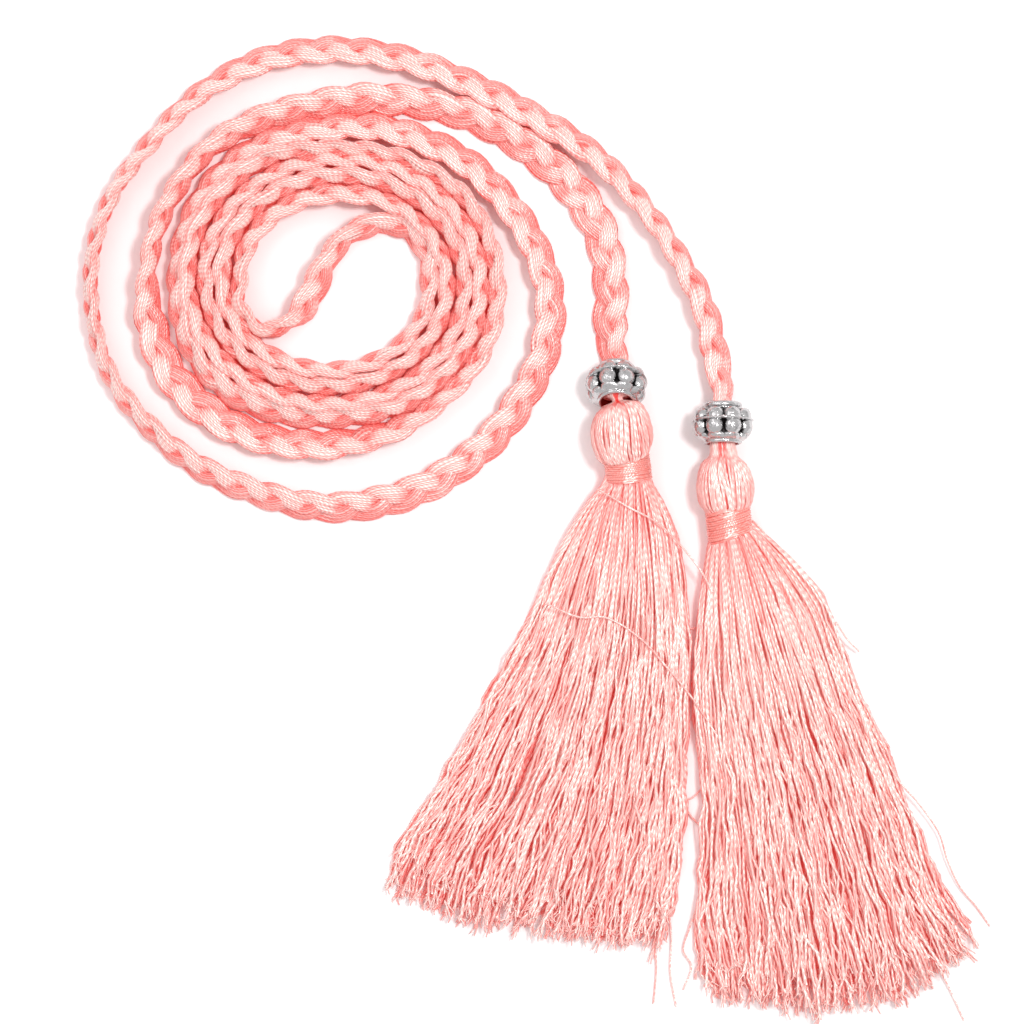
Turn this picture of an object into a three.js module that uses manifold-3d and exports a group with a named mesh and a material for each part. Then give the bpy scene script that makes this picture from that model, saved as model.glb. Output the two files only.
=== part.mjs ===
// A braided cincture cord with two beaded tassels, laid out flat as a double spiral.
// Lengths are millimetres, +Z is up and the cord lies on the plane z = 0.
// Plan positions are measured from the middle of the coil until the last step, which puts
// the origin under the middle of the two beaded tassels.

import * as THREE from 'three';
import Module from 'manifold-3d';
import { mergeVertices } from 'three/addons/utils/BufferGeometryUtils.js';

// Cord: the plain solids of the free stretches
const cordWidth = 4.0;
const cordThickness = 3.2;
const cordSides = 8;
const cordStep = 10.8;
const cordMouthLead = 1.6;

// Coil: the two arms wound side by side, as one slightly oval ring
const coilInnerRadius = 16.3;
const coilHeight = 6.6;
const coilEdgeRounding = 1.2;
const coilOval = 0.03;
const coilOuterClearance = 0.8;
const coilInnerClearance = 0.5;

// Beads
const beadDiameter = 12.4;
const beadLength = 8.4;
const beadBore = 6.4;
const beadCollarWall = 0.45;
const beadBallCount = 10;
const beadBallDiameter = 3.3;

// Tassel tops
const bindingWidth = 9.0;
const bindingWall = 0.7;
const bindingLift = 0.8;
const flattening = 0.87;
const neckWallClearance = 1.0;
const neckReach = 0.45;
const neckEase = 0.8;

// Skirts
const skirtHeight = 7.0;
const rootShare = 0.86;

// Gap kept between pieces that touch
const gap = 0.3;

const silver = { color: 0xb9bcbc, roughness: 0.34, metalness: 1.0 };
const cordPink = { color: 0xf6a89d, roughness: 0.5, metalness: 0.0 };
const tasselPink = { color: 0xf8aea2, roughness: 0.48, metalness: 0.0 };
const bindingPink = { color: 0xf59488, roughness: 0.45, metalness: 0.0 };

// The two tassels. bead: plan place of its middle; beadTilt: degrees that its tassel end tips
// up; neckLength: from the bead's edge to the head, seen from above; headDrop: from the middle
// of the bore's mouth down to the head's; turns: degrees from straight down the plan, to the
// right; innerEnd: the plan place that the end of the skirt's inner edge keeps.
const tassels = {
  left: {
    bead: [56.3, -20.9],
    beadTilt: 33,
    neckLength: 0.6,
    neckTurn: 4.7,
    headDrop: 0.2,
    headLength: 7.7,
    headWidth: 12.1,
    headTurn: 11.1,
    bindingLength: 5.4,
    skirtLength: 93.5,
    skirtSpread: 57.2,
    skirtOutwards: -1,
    innerEdge: 0.46,
    innerEnd: [65.9, -134.1],
  },
  right: {
    bead: [77.5, -28.5],
    beadTilt: 6,
    neckLength: 2.2,
    neckTurn: 1.7,
    headDrop: 0.7,
    headLength: 10.0,
    headWidth: 11.2,
    headTurn: 6.5,
    bindingLength: 6.4,
    skirtLength: 95.3,
    skirtSpread: 55.6,
    skirtOutwards: 1,
    innerEdge: 0.38,
    innerEnd: [79.5, -146.1],
  },
};

// Outline of each skirt. along: share of the way from the root to the end; left and right:
// edges as shares of skirtSpread; top: share of skirtHeight; lie: how far the underside
// has come down to the surface; square: how square the lower half of the section is.
const skirtOutlines = {
  left: [
    { along: 0.04, left: 0.11, right: 0.12, top: 0.98, lie: 0.35, square: 0.2 },
    { along: 0.09, left: 0.18, right: 0.17, top: 0.95, lie: 0.80, square: 0.5 },
    { along: 0.16, left: 0.22, right: 0.21, top: 0.90, lie: 1.0, square: 1.0 },
    { along: 0.27, left: 0.27, right: 0.25, top: 0.84, lie: 1.0, square: 1.0 },
    { along: 0.45, left: 0.34, right: 0.31, top: 0.76, lie: 1.0, square: 1.0 },
    { along: 0.65, left: 0.42, right: 0.37, top: 0.68, lie: 1.0, square: 1.0 },
    { along: 0.80, left: 0.50, right: 0.42, top: 0.62, lie: 1.0, square: 1.0 },
    { along: 0.94, left: 0.54, right: 0.46, top: 0.56, lie: 1.0, square: 1.0 },
    { along: 1.00, left: 0.46, right: 0.42, top: 0.50, lie: 1.0, square: 1.0 },
  ],
  right: [
    { along: 0.04, left: 0.10, right: 0.15, top: 0.98, lie: 0.35, square: 0.2 },
    { along: 0.09, left: 0.14, right: 0.21, top: 0.95, lie: 0.80, square: 0.5 },
    { along: 0.16, left: 0.17, right: 0.27, top: 0.90, lie: 1.0, square: 1.0 },
    { along: 0.27, left: 0.22, right: 0.31, top: 0.84, lie: 1.0, square: 1.0 },
    { along: 0.45, left: 0.26, right: 0.35, top: 0.76, lie: 1.0, square: 1.0 },
    { along: 0.65, left: 0.32, right: 0.39, top: 0.68, lie: 1.0, square: 1.0 },
    { along: 0.80, left: 0.42, right: 0.44, top: 0.62, lie: 1.0, square: 1.0 },
    { along: 0.94, left: 0.44, right: 0.52, top: 0.56, lie: 1.0, square: 1.0 },
    { along: 1.00, left: 0.36, right: 0.46, top: 0.50, lie: 1.0, square: 1.0 },
  ],
};

// Profile of a tassel head. along: share of the way from its top to the binding;
// radius: share of half the head's width.
const headProfile = [
  { along: 0.00, radius: 0.40 },
  { along: 0.07, radius: 0.66 },
  { along: 0.20, radius: 0.87 },
  { along: 0.38, radius: 0.98 },
  { along: 0.55, radius: 1.00 },
  { along: 0.75, radius: 0.93 },
  { along: 0.92, radius: 0.76 },
];

// Profile of a bead, from the cord end to the tassel end. along: share of its length;
// swell: share of the way from the collar's radius to the belt's.
const beadProfile = [
  { along: 0.00, swell: 0.00 },
  { along: 0.10, swell: 0.03 },
  { along: 0.15, swell: 0.30 },
  { along: 0.28, swell: 0.76 },
  { along: 0.41, swell: 0.99 },
  { along: 0.45, swell: 1.00 },
  { along: 0.48, swell: 0.82 },
  { along: 0.54, swell: 0.62 },
  { along: 0.70, swell: 0.52 },
  { along: 0.80, swell: 0.42 },
  { along: 0.89, swell: 0.08 },
  { along: 1.00, swell: 0.00 },
];
const beadBallPlace = { along: 0.60, swell: 0.45 };

// Route of the cord between its two arms, across the middle of the coil
const middleRoute = [
  [-19.0, 0.0], [-19.5, -3.8], [-18.3, -6.4], [-16.5, -8.8], [-14.5, -9.8], [-12.3, -9.6],
  [-9.3, -8.2], [-6.9, -6.4], [-5.1, -3.4], [-3.7, -0.4], [-1.7, 3.8], [0.7, 7.2],
  [3.5, 9.8], [7.1, 11.2], [11.1, 11.8], [15.1, 10.4], [17.3, 8.2], [18.7, 5.2], [19.0, 0.0],
];

// Routes of the two runs, from the coil to the last point before their beads: x, y and the
// height of the cord's middle. The first points of each still lie in the coil.
const lying = cordThickness / 2;
const leftRoute = [
  [8.1, 25.8, lying], [17.1, 23.0, lying], [25.5, 17.2, lying], [30.3, 9.6, lying],
  [32.3, 0.6, lying], [31.7, -8.2, lying], [28.1, -16.4, lying], [21.7, -23.2, lying],
  [12.7, -29.4, lying], [2.1, -32.4, lying], [-8.9, -32.4, lying], [-18.9, -29.8, lying],
  [-26.9, -25.0, lying], [-33.3, -17.8, lying], [-36.7, -8.8, lying], [-37.5, 0.2, lying],
  [-35.5, 10.8, lying], [-30.9, 19.8, lying], [-23.9, 27.6, lying], [-14.9, 32.4, lying],
  [-4.5, 35.2, lying], [6.7, 36.6, lying], [18.1, 35.6, lying], [28.7, 32.6, lying],
  [38.7, 26.8, lying], [47.5, 19.2, lying], [53.1, 10.2, lying], [55.1, 1.2, lying],
  [55.3, -5.8, lying], [55.2, -10.8, 1.7],
];
const rightRoute = [
  [-6.9, -26.8, lying], [-12.9, -25.6, lying], [-18.9, -23.4, lying], [-25.5, -18.2, lying],
  [-30.1, -10.6, lying], [-31.7, -1.8, lying], [-30.9, 7.0, lying], [-27.5, 15.8, lying],
  [-21.5, 22.9, lying], [-13.3, 28.0, lying], [-2.9, 30.6, lying], [8.1, 31.0, lying],
  [17.9, 28.2, lying], [26.7, 23.6, lying], [34.3, 16.0, lying], [40.1, 7.0, lying],
  [43.1, -3.4, lying], [42.1, -13.8, lying], [37.5, -23.6, lying], [30.5, -32.4, lying],
  [21.1, -39.6, lying], [9.9, -44.0, lying], [-2.9, -45.2, lying], [-15.7, -42.2, lying],
  [-27.7, -36.8, lying], [-37.9, -28.2, lying], [-44.9, -18.8, lying], [-48.3, -7.4, lying],
  [-48.5, 4.6, lying], [-44.9, 16.4, lying], [-37.5, 27.0, lying], [-27.5, 37.2, lying],
  [-15.3, 44.0, lying], [-1.9, 46.4, lying], [12.3, 45.0, lying], [26.7, 39.8, lying],
  [39.9, 33.0, lying], [52.5, 24.8, lying], [62.1, 14.6, lying], [69.1, 4.4, 1.7],
  [74.3, -6.2, 2.0], [76.1, -14.2, 3.2], [76.9, -20.0, 5.0],
];
const pointsInCoil = 2;

const wasm = await Module();
wasm.setup();

function addMesh(group, name, geometry, look) {
  const mesh = new THREE.Mesh(geometry, new THREE.MeshStandardMaterial(look));
  mesh.name = name;
  group.add(mesh);
  return mesh;
}

function toSolid(geometry) {
  const bare = geometry.clone();
  bare.deleteAttribute('normal');
  bare.deleteAttribute('uv');
  const merged = mergeVertices(bare);
  return new wasm.Manifold(new wasm.Mesh({
    numProp: 3,
    vertProperties: new Float32Array(merged.attributes.position.array),
    triVerts: new Uint32Array(merged.index.array),
  }));
}

function toGeometry(solid) {
  const mesh = solid.getMesh();
  const geometry = new THREE.BufferGeometry();
  geometry.setAttribute('position', new THREE.BufferAttribute(mesh.vertProperties, 3));
  geometry.setIndex(new THREE.BufferAttribute(mesh.triVerts, 1));
  geometry.computeVertexNormals();
  return geometry;
}

// Many-sided section whose flats touch the given height and width
function sectionShape(height, width, sides) {
  const half = Math.PI / sides;
  const corners = Array.from({ length: sides }, (_, i) => {
    const angle = half + 2 * half * i;
    return new THREE.Vector2(
      (height / 2) * Math.cos(angle) / Math.cos(half),
      (width / 2) * Math.sin(angle) / Math.cos(half),
    );
  });
  return new THREE.Shape(corners);
}

function tubeAlong(curve, height, width, sides, step) {
  return new THREE.ExtrudeGeometry(sectionShape(height, width, sides), {
    steps: Math.max(2, Math.round(curve.getLength() / step)),
    extrudePath: curve,
    bevelEnabled: false,
  });
}

function smoothCurve(points) {
  return new THREE.CatmullRomCurve3(points, false, 'centripetal');
}

// Places a group at one point with its local +Y towards another
function aim(group, from, to) {
  const way = to.clone().sub(from);
  const yaw = Math.atan2(-way.x, way.y);
  const pitch = Math.atan2(way.z, Math.hypot(way.x, way.y));
  group.position.copy(from);
  group.rotation.set(pitch, 0, yaw, 'ZXY');
}

// How far a plan point lies from the coil's middle, measured as on its round ring
function reachInCoil([x, y]) {
  return Math.hypot(x / (1 + coilOval), y / (1 - coilOval));
}

// The coil of both arms: one ring of their outer shape, up to where the runs lie beside it
function makeCoil() {
  const inner = coilInnerRadius;
  const nearest = Math.min(
    reachInCoil(leftRoute[pointsInCoil]), reachInCoil(rightRoute[pointsInCoil]));
  const outer = nearest - cordWidth / 2 - coilOuterClearance;
  const round = coilEdgeRounding;
  const slope = round * (1 - Math.SQRT1_2);
  const profile = [
    [inner, 0],
    [outer, 0],
    [outer, coilHeight - round],
    [outer - slope, coilHeight - slope],
    [outer - round, coilHeight],
    [inner + round, coilHeight],
    [inner + slope, coilHeight - slope],
    [inner, coilHeight - round],
    [inner, 0],
  ].map(([radius, height]) => new THREE.Vector2(radius, height));
  const ring = new THREE.LatheGeometry(profile, 64);
  ring.rotateX(Math.PI / 2);
  ring.scale(1 + coilOval, 1 - coilOval, 1);
  return ring;
}

// The stretch that crosses the middle of the coil, as far as both its edges clear the ring
function makeMiddle() {
  const whole = smoothCurve(middleRoute.map(([x, y]) => new THREE.Vector3(x, y, lying)));
  const wall = coilInnerRadius - coilInnerClearance;
  const isClear = (share) => {
    const p = whole.getPointAt(share);
    const way = whole.getTangentAt(share).multiplyScalar(cordWidth / 2);
    return reachInCoil([p.x - way.y, p.y + way.x]) < wall
      && reachInCoil([p.x + way.y, p.y - way.x]) < wall;
  };
  const clear = Array.from({ length: 201 }, (_, i) => i / 200).filter(isClear);
  const [from, to] = [clear[0], clear[clear.length - 1]];
  const points = Array.from({ length: 9 }, (_, i) => whole.getPointAt(from + (to - from) * i / 8));
  return tubeAlong(smoothCurve(points), cordThickness, cordWidth, cordSides, cordStep / 2);
}

// One run, from the ring's outer wall into the bore of its bead
function makeRun(route, bead) {
  const points = route.slice(pointsInCoil).map((p) => new THREE.Vector3(...p));
  const mouth = bead.localToWorld(new THREE.Vector3(0, beadLength / 2 + cordMouthLead, 0));
  const end = bead.localToWorld(new THREE.Vector3(0, gap / 2, 0));
  return tubeAlong(
    smoothCurve([...points, mouth, end]), cordThickness, cordWidth, cordSides, cordStep);
}

// Bead: a bored rondelle with collars, a belt and a ring of balls
function makeBead() {
  const bore = beadBore / 2;
  const collar = bore + beadCollarWall;
  const radiusAt = (swell) => collar + (beadDiameter / 2 - collar) * swell;
  const heightAt = (along) => beadLength * (0.5 - along);
  const outline = beadProfile.map(({ along, swell }) => (
    new THREE.Vector2(radiusAt(swell), heightAt(along))));
  const bottom = new THREE.Vector2(bore, -beadLength / 2);
  const top = new THREE.Vector2(bore, beadLength / 2);
  const profile = [top, bottom, ...outline.reverse(), top];
  let solid = toSolid(new THREE.LatheGeometry(profile, 30));
  for (let i = 0; i < beadBallCount; i += 1) {
    const angle = (2 * Math.PI * (i + 0.5)) / beadBallCount;
    const radius = radiusAt(beadBallPlace.swell);
    const ball = new THREE.SphereGeometry(beadBallDiameter / 2, 12, 8);
    ball.translate(
      radius * Math.sin(angle), heightAt(beadBallPlace.along), radius * Math.cos(angle));
    solid = solid.add(toSolid(ball));
  }
  return toGeometry(solid);
}

// Neck: the yarns gathered between the middle of the bead's bore and the head
function makeNeck(bead, headTop, headWay) {
  const start = bead.localToWorld(new THREE.Vector3(0, -gap / 2, 0));
  const inBore = bead.localToWorld(new THREE.Vector3(0, -beadLength * neckReach, 0));
  const beforeHead = headTop.clone().addScaledVector(headWay, -neckEase);
  const curve = new THREE.CubicBezierCurve3(start, inBore, beforeHead, headTop);
  const width = beadBore - 2 * neckWallClearance;
  return tubeAlong(curve, width, width, 10, beadLength / 8);
}

// Head: a solid bulb about local Y, with a tail that fills the binding
function makeHead(side, topDistance) {
  const tail = bindingWidth / 2 - bindingWall - gap;
  const bulbEnd = side.bindingLength / 2 + gap;
  const top = topDistance - gap;
  const outline = headProfile.map(({ along, radius }) => new THREE.Vector2(
    (side.headWidth / 2) * radius, top + (bulbEnd - top) * along));
  const profile = [
    new THREE.Vector2(0, -side.bindingLength / 2),
    new THREE.Vector2(tail, -side.bindingLength / 2),
    new THREE.Vector2(tail, bulbEnd),
    ...outline.reverse(),
    new THREE.Vector2(0, top),
  ];
  const head = new THREE.LatheGeometry(profile, 24);
  head.scale(1, 1, flattening);
  return head;
}

// Binding: the wound band round the tail of the head
function makeBinding(side) {
  const outer = bindingWidth / 2;
  const inner = outer - bindingWall;
  const half = side.bindingLength / 2;
  const edge = bindingWall / 2;
  const profile = [
    [inner, -half], [outer - edge, -half], [outer, -half + edge],
    [outer, half - edge], [outer - edge, half], [inner, half], [inner, -half],
  ].map(([radius, height]) => new THREE.Vector2(radius, height));
  const band = new THREE.LatheGeometry(profile, 24);
  band.scale(1, 1, flattening);
  return band;
}

// Closed solid through rings of points that all have the same number of corners
function loft(rings) {
  const count = rings[0].length;
  const corners = rings.flat();
  const first = corners.push(middleOf(rings[0])) - 1;
  const last = corners.push(middleOf(rings[rings.length - 1])) - 1;
  const index = [];
  for (let r = 0; r + 1 < rings.length; r += 1) {
    for (let i = 0; i < count; i += 1) {
      const a = r * count + i;
      const b = r * count + (i + 1) % count;
      index.push(a, b, b + count, a, b + count, a + count);
    }
  }
  const end = (rings.length - 1) * count;
  for (let i = 0; i < count; i += 1) {
    index.push(first, (i + 1) % count, i);
    index.push(last, end + i, end + (i + 1) % count);
  }
  const geometry = new THREE.BufferGeometry().setFromPoints(corners);
  geometry.setIndex(index);
  geometry.computeVertexNormals();
  return geometry;
}

function middleOf(ring) {
  const sum = ring.reduce((total, p) => total.add(p), new THREE.Vector3());
  return sum.divideScalar(ring.length);
}

// Skirt: the outer form of the fringe, round at the root and flat where it lies
function makeSkirt(side, outline, root, rootWay) {
  const inner = new THREE.Vector3(...side.innerEnd, 0);
  const flatRoot = new THREE.Vector3(root.x, root.y, 0);
  const edgeWay = inner.clone().sub(flatRoot).normalize();
  const outwards = new THREE.Vector3(-edgeWay.y, edgeWay.x, 0);
  const aside = side.skirtSpread * side.innerEdge * side.skirtOutwards;
  const skirtWay = inner.clone().addScaledVector(outwards, aside).sub(flatRoot).normalize();
  const length = side.skirtLength - side.bindingLength / 2;
  const end = flatRoot.clone().addScaledVector(skirtWay, length);
  const spine = new THREE.CubicBezierCurve3(
    root,
    root.clone().addScaledVector(rootWay, length * 0.1),
    new THREE.Vector3().lerpVectors(root, end, 0.35).setZ(skirtHeight / 3),
    end.clone().setZ(skirtHeight / 4),
  );
  const rootRadius = (bindingWidth / 2) * rootShare;
  const rootRow = {
    along: 0,
    left: rootRadius / side.skirtSpread,
    right: rootRadius / side.skirtSpread,
    top: 0,
    lie: 0,
    square: 0,
  };
  const corners = 20;
  const rings = [rootRow, ...outline].map((row) => {
    const centre = spine.getPoint(spine.getUtoTmapping(row.along));
    const way = row.along === 0 ? rootWay.clone() : spine.getTangent(
      spine.getUtoTmapping(row.along));
    if (row.lie === 1) way.setZ(0).normalize();
    const across = new THREE.Vector3(-way.y, way.x, 0).normalize();
    const up = new THREE.Vector3().crossVectors(way, across).negate();
    up.multiplyScalar(Math.sign(up.z));
    const rootHalf = Math.min(rootRadius * flattening, centre.z);
    const top = row.along === 0 ? rootHalf : skirtHeight * row.top - centre.z;
    const under = -(rootHalf * (1 - row.lie) + centre.z * row.lie);
    return Array.from({ length: corners }, (_, i) => {
      const angle = (2 * Math.PI * i) / corners;
      const [c, s] = [Math.cos(angle), Math.sin(angle)];
      const roundness = 1 - 0.72 * row.square;
      const wide = Math.sign(c) * Math.abs(c) ** (s < 0 ? roundness : 1);
      const high = Math.sign(s) * Math.abs(s) ** (s < 0 ? roundness : 0.9);
      const sideways = wide * side.skirtSpread * (wide > 0 ? row.right : row.left);
      const height = high > 0 ? high * top : -high * under;
      return centre.clone().addScaledVector(across, sideways).addScaledVector(up, height);
    });
  });
  return loft(rings);
}

// Plan point at a distance from another, at an angle from straight down to the right
function stepDown([x, y], turn, distance) {
  const angle = THREE.MathUtils.degToRad(turn);
  return new THREE.Vector3(x + distance * Math.sin(angle), y - distance * Math.cos(angle), 0);
}

// One bead with its neck, head, binding and skirt, and the run of cord that enters it
function makeTassel(object, name, route) {
  const side = tassels[name];
  const bead = new THREE.Group();
  bead.rotation.x = THREE.MathUtils.degToRad(-side.beadTilt);
  object.add(bead);
  const beadMesh = addMesh(bead, `bead_${name}`, makeBead(), silver);
  bead.updateMatrixWorld(true);
  const standing = -new THREE.Box3().setFromObject(beadMesh, true).min.z;
  bead.position.set(side.bead[0], side.bead[1], standing);
  bead.updateMatrixWorld(true);

  const tilt = THREE.MathUtils.degToRad(side.beadTilt);
  const collar = beadBore / 2 + beadCollarWall;
  const beadReach = (beadLength / 2) * Math.cos(tilt) + collar * Math.sin(tilt);
  const mouthHeight = standing + (beadLength / 2) * Math.sin(tilt);
  const headTop = stepDown(side.bead, side.neckTurn, beadReach + side.neckLength)
    .setZ(mouthHeight - side.headDrop);
  const binding = stepDown([headTop.x, headTop.y], side.headTurn,
    side.headLength + side.bindingLength / 2).setZ((bindingWidth / 2) * flattening + bindingLift);
  const top = new THREE.Group();
  aim(top, binding, headTop);
  object.add(top);
  top.updateMatrixWorld(true);
  addMesh(top, `head_${name}`, makeHead(side, headTop.distanceTo(binding)), tasselPink);
  addMesh(top, `binding_${name}`, makeBinding(side), bindingPink);

  addMesh(object, `cord_run_${name}`, makeRun(route, bead), cordPink);
  const tasselWay = binding.clone().sub(headTop).normalize();
  addMesh(object, `neck_${name}`, makeNeck(bead, headTop, tasselWay), tasselPink);
  const root = top.localToWorld(new THREE.Vector3(0, -side.bindingLength / 2 - gap, 0));
  const skirt = makeSkirt(side, skirtOutlines[name], root, tasselWay);
  addMesh(object, `skirt_${name}`, skirt, tasselPink);
}

const layout = new THREE.Group();
addMesh(layout, 'cord_coil', makeCoil(), cordPink);
addMesh(layout, 'cord_middle', makeMiddle(), cordPink);
makeTassel(layout, 'left', leftRoute);
makeTassel(layout, 'right', rightRoute);

// The origin goes under the middle of the beads and tassels
const tasselBox = new THREE.Box3();
layout.updateMatrixWorld(true);
layout.traverse((piece) => {
  if (piece.isMesh && !piece.name.startsWith('cord_')) tasselBox.expandByObject(piece, true);
});
const middle = tasselBox.getCenter(new THREE.Vector3());
layout.position.set(-middle.x, -middle.y, 0);

const cinctureCord = new THREE.Group();
cinctureCord.add(layout);

export default cinctureCord;
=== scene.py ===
"""Cincture cord: a long plaited cord with two silver beads and two tassels, lying on a pale floor."""
import math

import bmesh
import bpy
from mathutils import Matrix, Vector


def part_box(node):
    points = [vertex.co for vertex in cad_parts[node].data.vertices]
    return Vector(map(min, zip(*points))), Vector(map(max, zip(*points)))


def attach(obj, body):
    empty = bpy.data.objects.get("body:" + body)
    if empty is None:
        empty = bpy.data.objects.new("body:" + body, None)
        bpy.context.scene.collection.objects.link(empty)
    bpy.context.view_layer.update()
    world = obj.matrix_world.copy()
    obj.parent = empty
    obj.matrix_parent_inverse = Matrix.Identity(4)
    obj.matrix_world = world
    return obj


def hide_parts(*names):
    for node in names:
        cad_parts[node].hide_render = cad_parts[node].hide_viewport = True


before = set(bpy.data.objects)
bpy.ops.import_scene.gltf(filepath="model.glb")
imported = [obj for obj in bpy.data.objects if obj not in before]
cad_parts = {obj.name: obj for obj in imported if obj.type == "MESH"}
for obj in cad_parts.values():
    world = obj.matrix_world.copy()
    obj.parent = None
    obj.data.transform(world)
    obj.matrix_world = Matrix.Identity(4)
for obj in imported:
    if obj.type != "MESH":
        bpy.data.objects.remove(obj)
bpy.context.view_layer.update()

bl_info = {
    "name": "Cincture cord",
    "version": (1, 0, 0),
    "blender": (4, 5, 0),
    "location": "3D View > Sidebar > Cincture",
    "description": "Makes a plaited cord with silver beads and tassels, and the floor it lies on",
    "category": "Object",
}

# Points of the cord, in metres from the middle of its coil: x right, y up the picture
MIDDLE_ROUTE = (
    (-0.0190, 0.0000), (-0.0195, -0.0038), (-0.0183, -0.0064), (-0.0165, -0.0088),
    (-0.0145, -0.0098), (-0.0123, -0.0096), (-0.0093, -0.0082), (-0.0069, -0.0064),
    (-0.0051, -0.0034), (-0.0037, -0.0004), (-0.0017, 0.0038), (0.0007, 0.0072), (0.0035, 0.0098),
    (0.0071, 0.0112), (0.0111, 0.0118), (0.0151, 0.0104), (0.0173, 0.0082), (0.0187, 0.0052),
    (0.0190, 0.0000),
)
LEFT_ROUTE = (
    (0.0081, 0.0258), (0.0171, 0.0230), (0.0255, 0.0172), (0.0303, 0.0096), (0.0323, 0.0006),
    (0.0317, -0.0082), (0.0281, -0.0164), (0.0217, -0.0232), (0.0127, -0.0294), (0.0021, -0.0324),
    (-0.0089, -0.0324), (-0.0189, -0.0298), (-0.0269, -0.0250), (-0.0333, -0.0178),
    (-0.0367, -0.0088), (-0.0375, 0.0002), (-0.0355, 0.0108), (-0.0309, 0.0198),
    (-0.0239, 0.0276), (-0.0149, 0.0324), (-0.0045, 0.0352), (0.0067, 0.0366), (0.0181, 0.0356),
    (0.0287, 0.0326), (0.0387, 0.0268), (0.0475, 0.0192), (0.0531, 0.0102), (0.0551, 0.0012),
    (0.0553, -0.0058), (0.0552, -0.0108),
)
RIGHT_ROUTE = (
    (-0.0069, -0.0268), (-0.0129, -0.0256), (-0.0189, -0.0234), (-0.0255, -0.0182),
    (-0.0301, -0.0106), (-0.0317, -0.0018), (-0.0309, 0.0070), (-0.0275, 0.0158),
    (-0.0215, 0.0229), (-0.0133, 0.0280), (-0.0029, 0.0306), (0.0081, 0.0310), (0.0179, 0.0282),
    (0.0267, 0.0236), (0.0343, 0.0160), (0.0401, 0.0070), (0.0431, -0.0034), (0.0421, -0.0138),
    (0.0375, -0.0236), (0.0305, -0.0324), (0.0211, -0.0396), (0.0099, -0.0440),
    (-0.0029, -0.0452), (-0.0157, -0.0422), (-0.0277, -0.0368), (-0.0379, -0.0282),
    (-0.0449, -0.0188), (-0.0483, -0.0074), (-0.0485, 0.0046), (-0.0449, 0.0164),
    (-0.0375, 0.0270), (-0.0275, 0.0372), (-0.0153, 0.0440), (-0.0019, 0.0464), (0.0123, 0.0450),
    (0.0267, 0.0398), (0.0399, 0.0330), (0.0525, 0.0248), (0.0621, 0.0146),
    (0.0691, 0.0044), (0.0743, -0.0062), (0.0761, -0.0142),
)
# Each arm of the coil between its listed points: first radius, growth a turn, turns, points a turn,
# and how oval it is at first and how much rounder it is a turn later
ARM_START = 0.0176
ARM_GROWTH = 0.0068
ARM_TURNS = 1.75
ARM_STEPS = 16
ARM_OVAL = 0.08
ARM_OVAL_LOSS = 0.015

# How wide the flat cord looks from above, by its length from the left bead: it rolls over and back
SEEN_WIDTHS = (
    (0.000, 0.0070), (0.024, 0.0072), (0.040, 0.0076), (0.068, 0.0067), (0.086, 0.0064),
    (0.104, 0.0056), (0.130, 0.0040), (0.150, 0.0036), (0.164, 0.0066), (0.178, 0.0072),
    (0.202, 0.0064), (0.232, 0.0048), (0.256, 0.0044), (0.273, 0.0038), (0.300, 0.0037),
    (0.350, 0.0039), (0.540, 0.0038), (0.562, 0.0037), (0.578, 0.0052), (0.594, 0.0042),
    (0.606, 0.0056), (0.616, 0.0032), (0.630, 0.0036), (0.642, 0.0050), (0.660, 0.0052),
    (0.678, 0.0037), (0.752, 0.0038), (0.800, 0.0039), (0.878, 0.0042), (0.890, 0.0052),
    (0.912, 0.0052), (0.928, 0.0044), (0.945, 0.0044), (0.960, 0.0050), (0.978, 0.0058),
    (1.004, 0.0062), (1.038, 0.0064), (1.098, 0.0068), (1.136, 0.0056), (1.160, 0.0044),
    (1.182, 0.0033), (1.205, 0.0036), (1.220, 0.0044), (1.250, 0.0060), (1.300, 0.0061),
    (1.340, 0.0048), (1.366, 0.0060),
)
RUN_LEFT_ENDS = 0.295
RUN_RIGHT_STARTS = 0.886

BEADS = {
    "left": {"place": (0.0563, -0.0209), "tilt": 33.0, "height": 0.0058},
    "right": {"place": (0.0775, -0.0285), "tilt": 6.0, "height": 0.00625},
}
BEAD_HALF_LENGTH = 0.0042
# From a bead's middle to where the cord turns off the bead's axis
MOUTH_FROM_MIDDLE = BEAD_HALF_LENGTH + 0.0016
# Length between two points of the cord's way, and steps between two of its listed points
WAY_STEP = 0.001
WAY_CURVE_STEPS = 10
# The length at each end in which the cord keeps to the bead's axis, and in which it comes down
INSIDE_BEAD = 0.004
COMES_DOWN_IN = 0.010
# How much narrower the cord is in a bead
BEAD_SQUEEZE = 0.30
# The least height of the cord's middle line, as a share of half its height as it is rolled
LOWEST_STAND = 0.9

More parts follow.
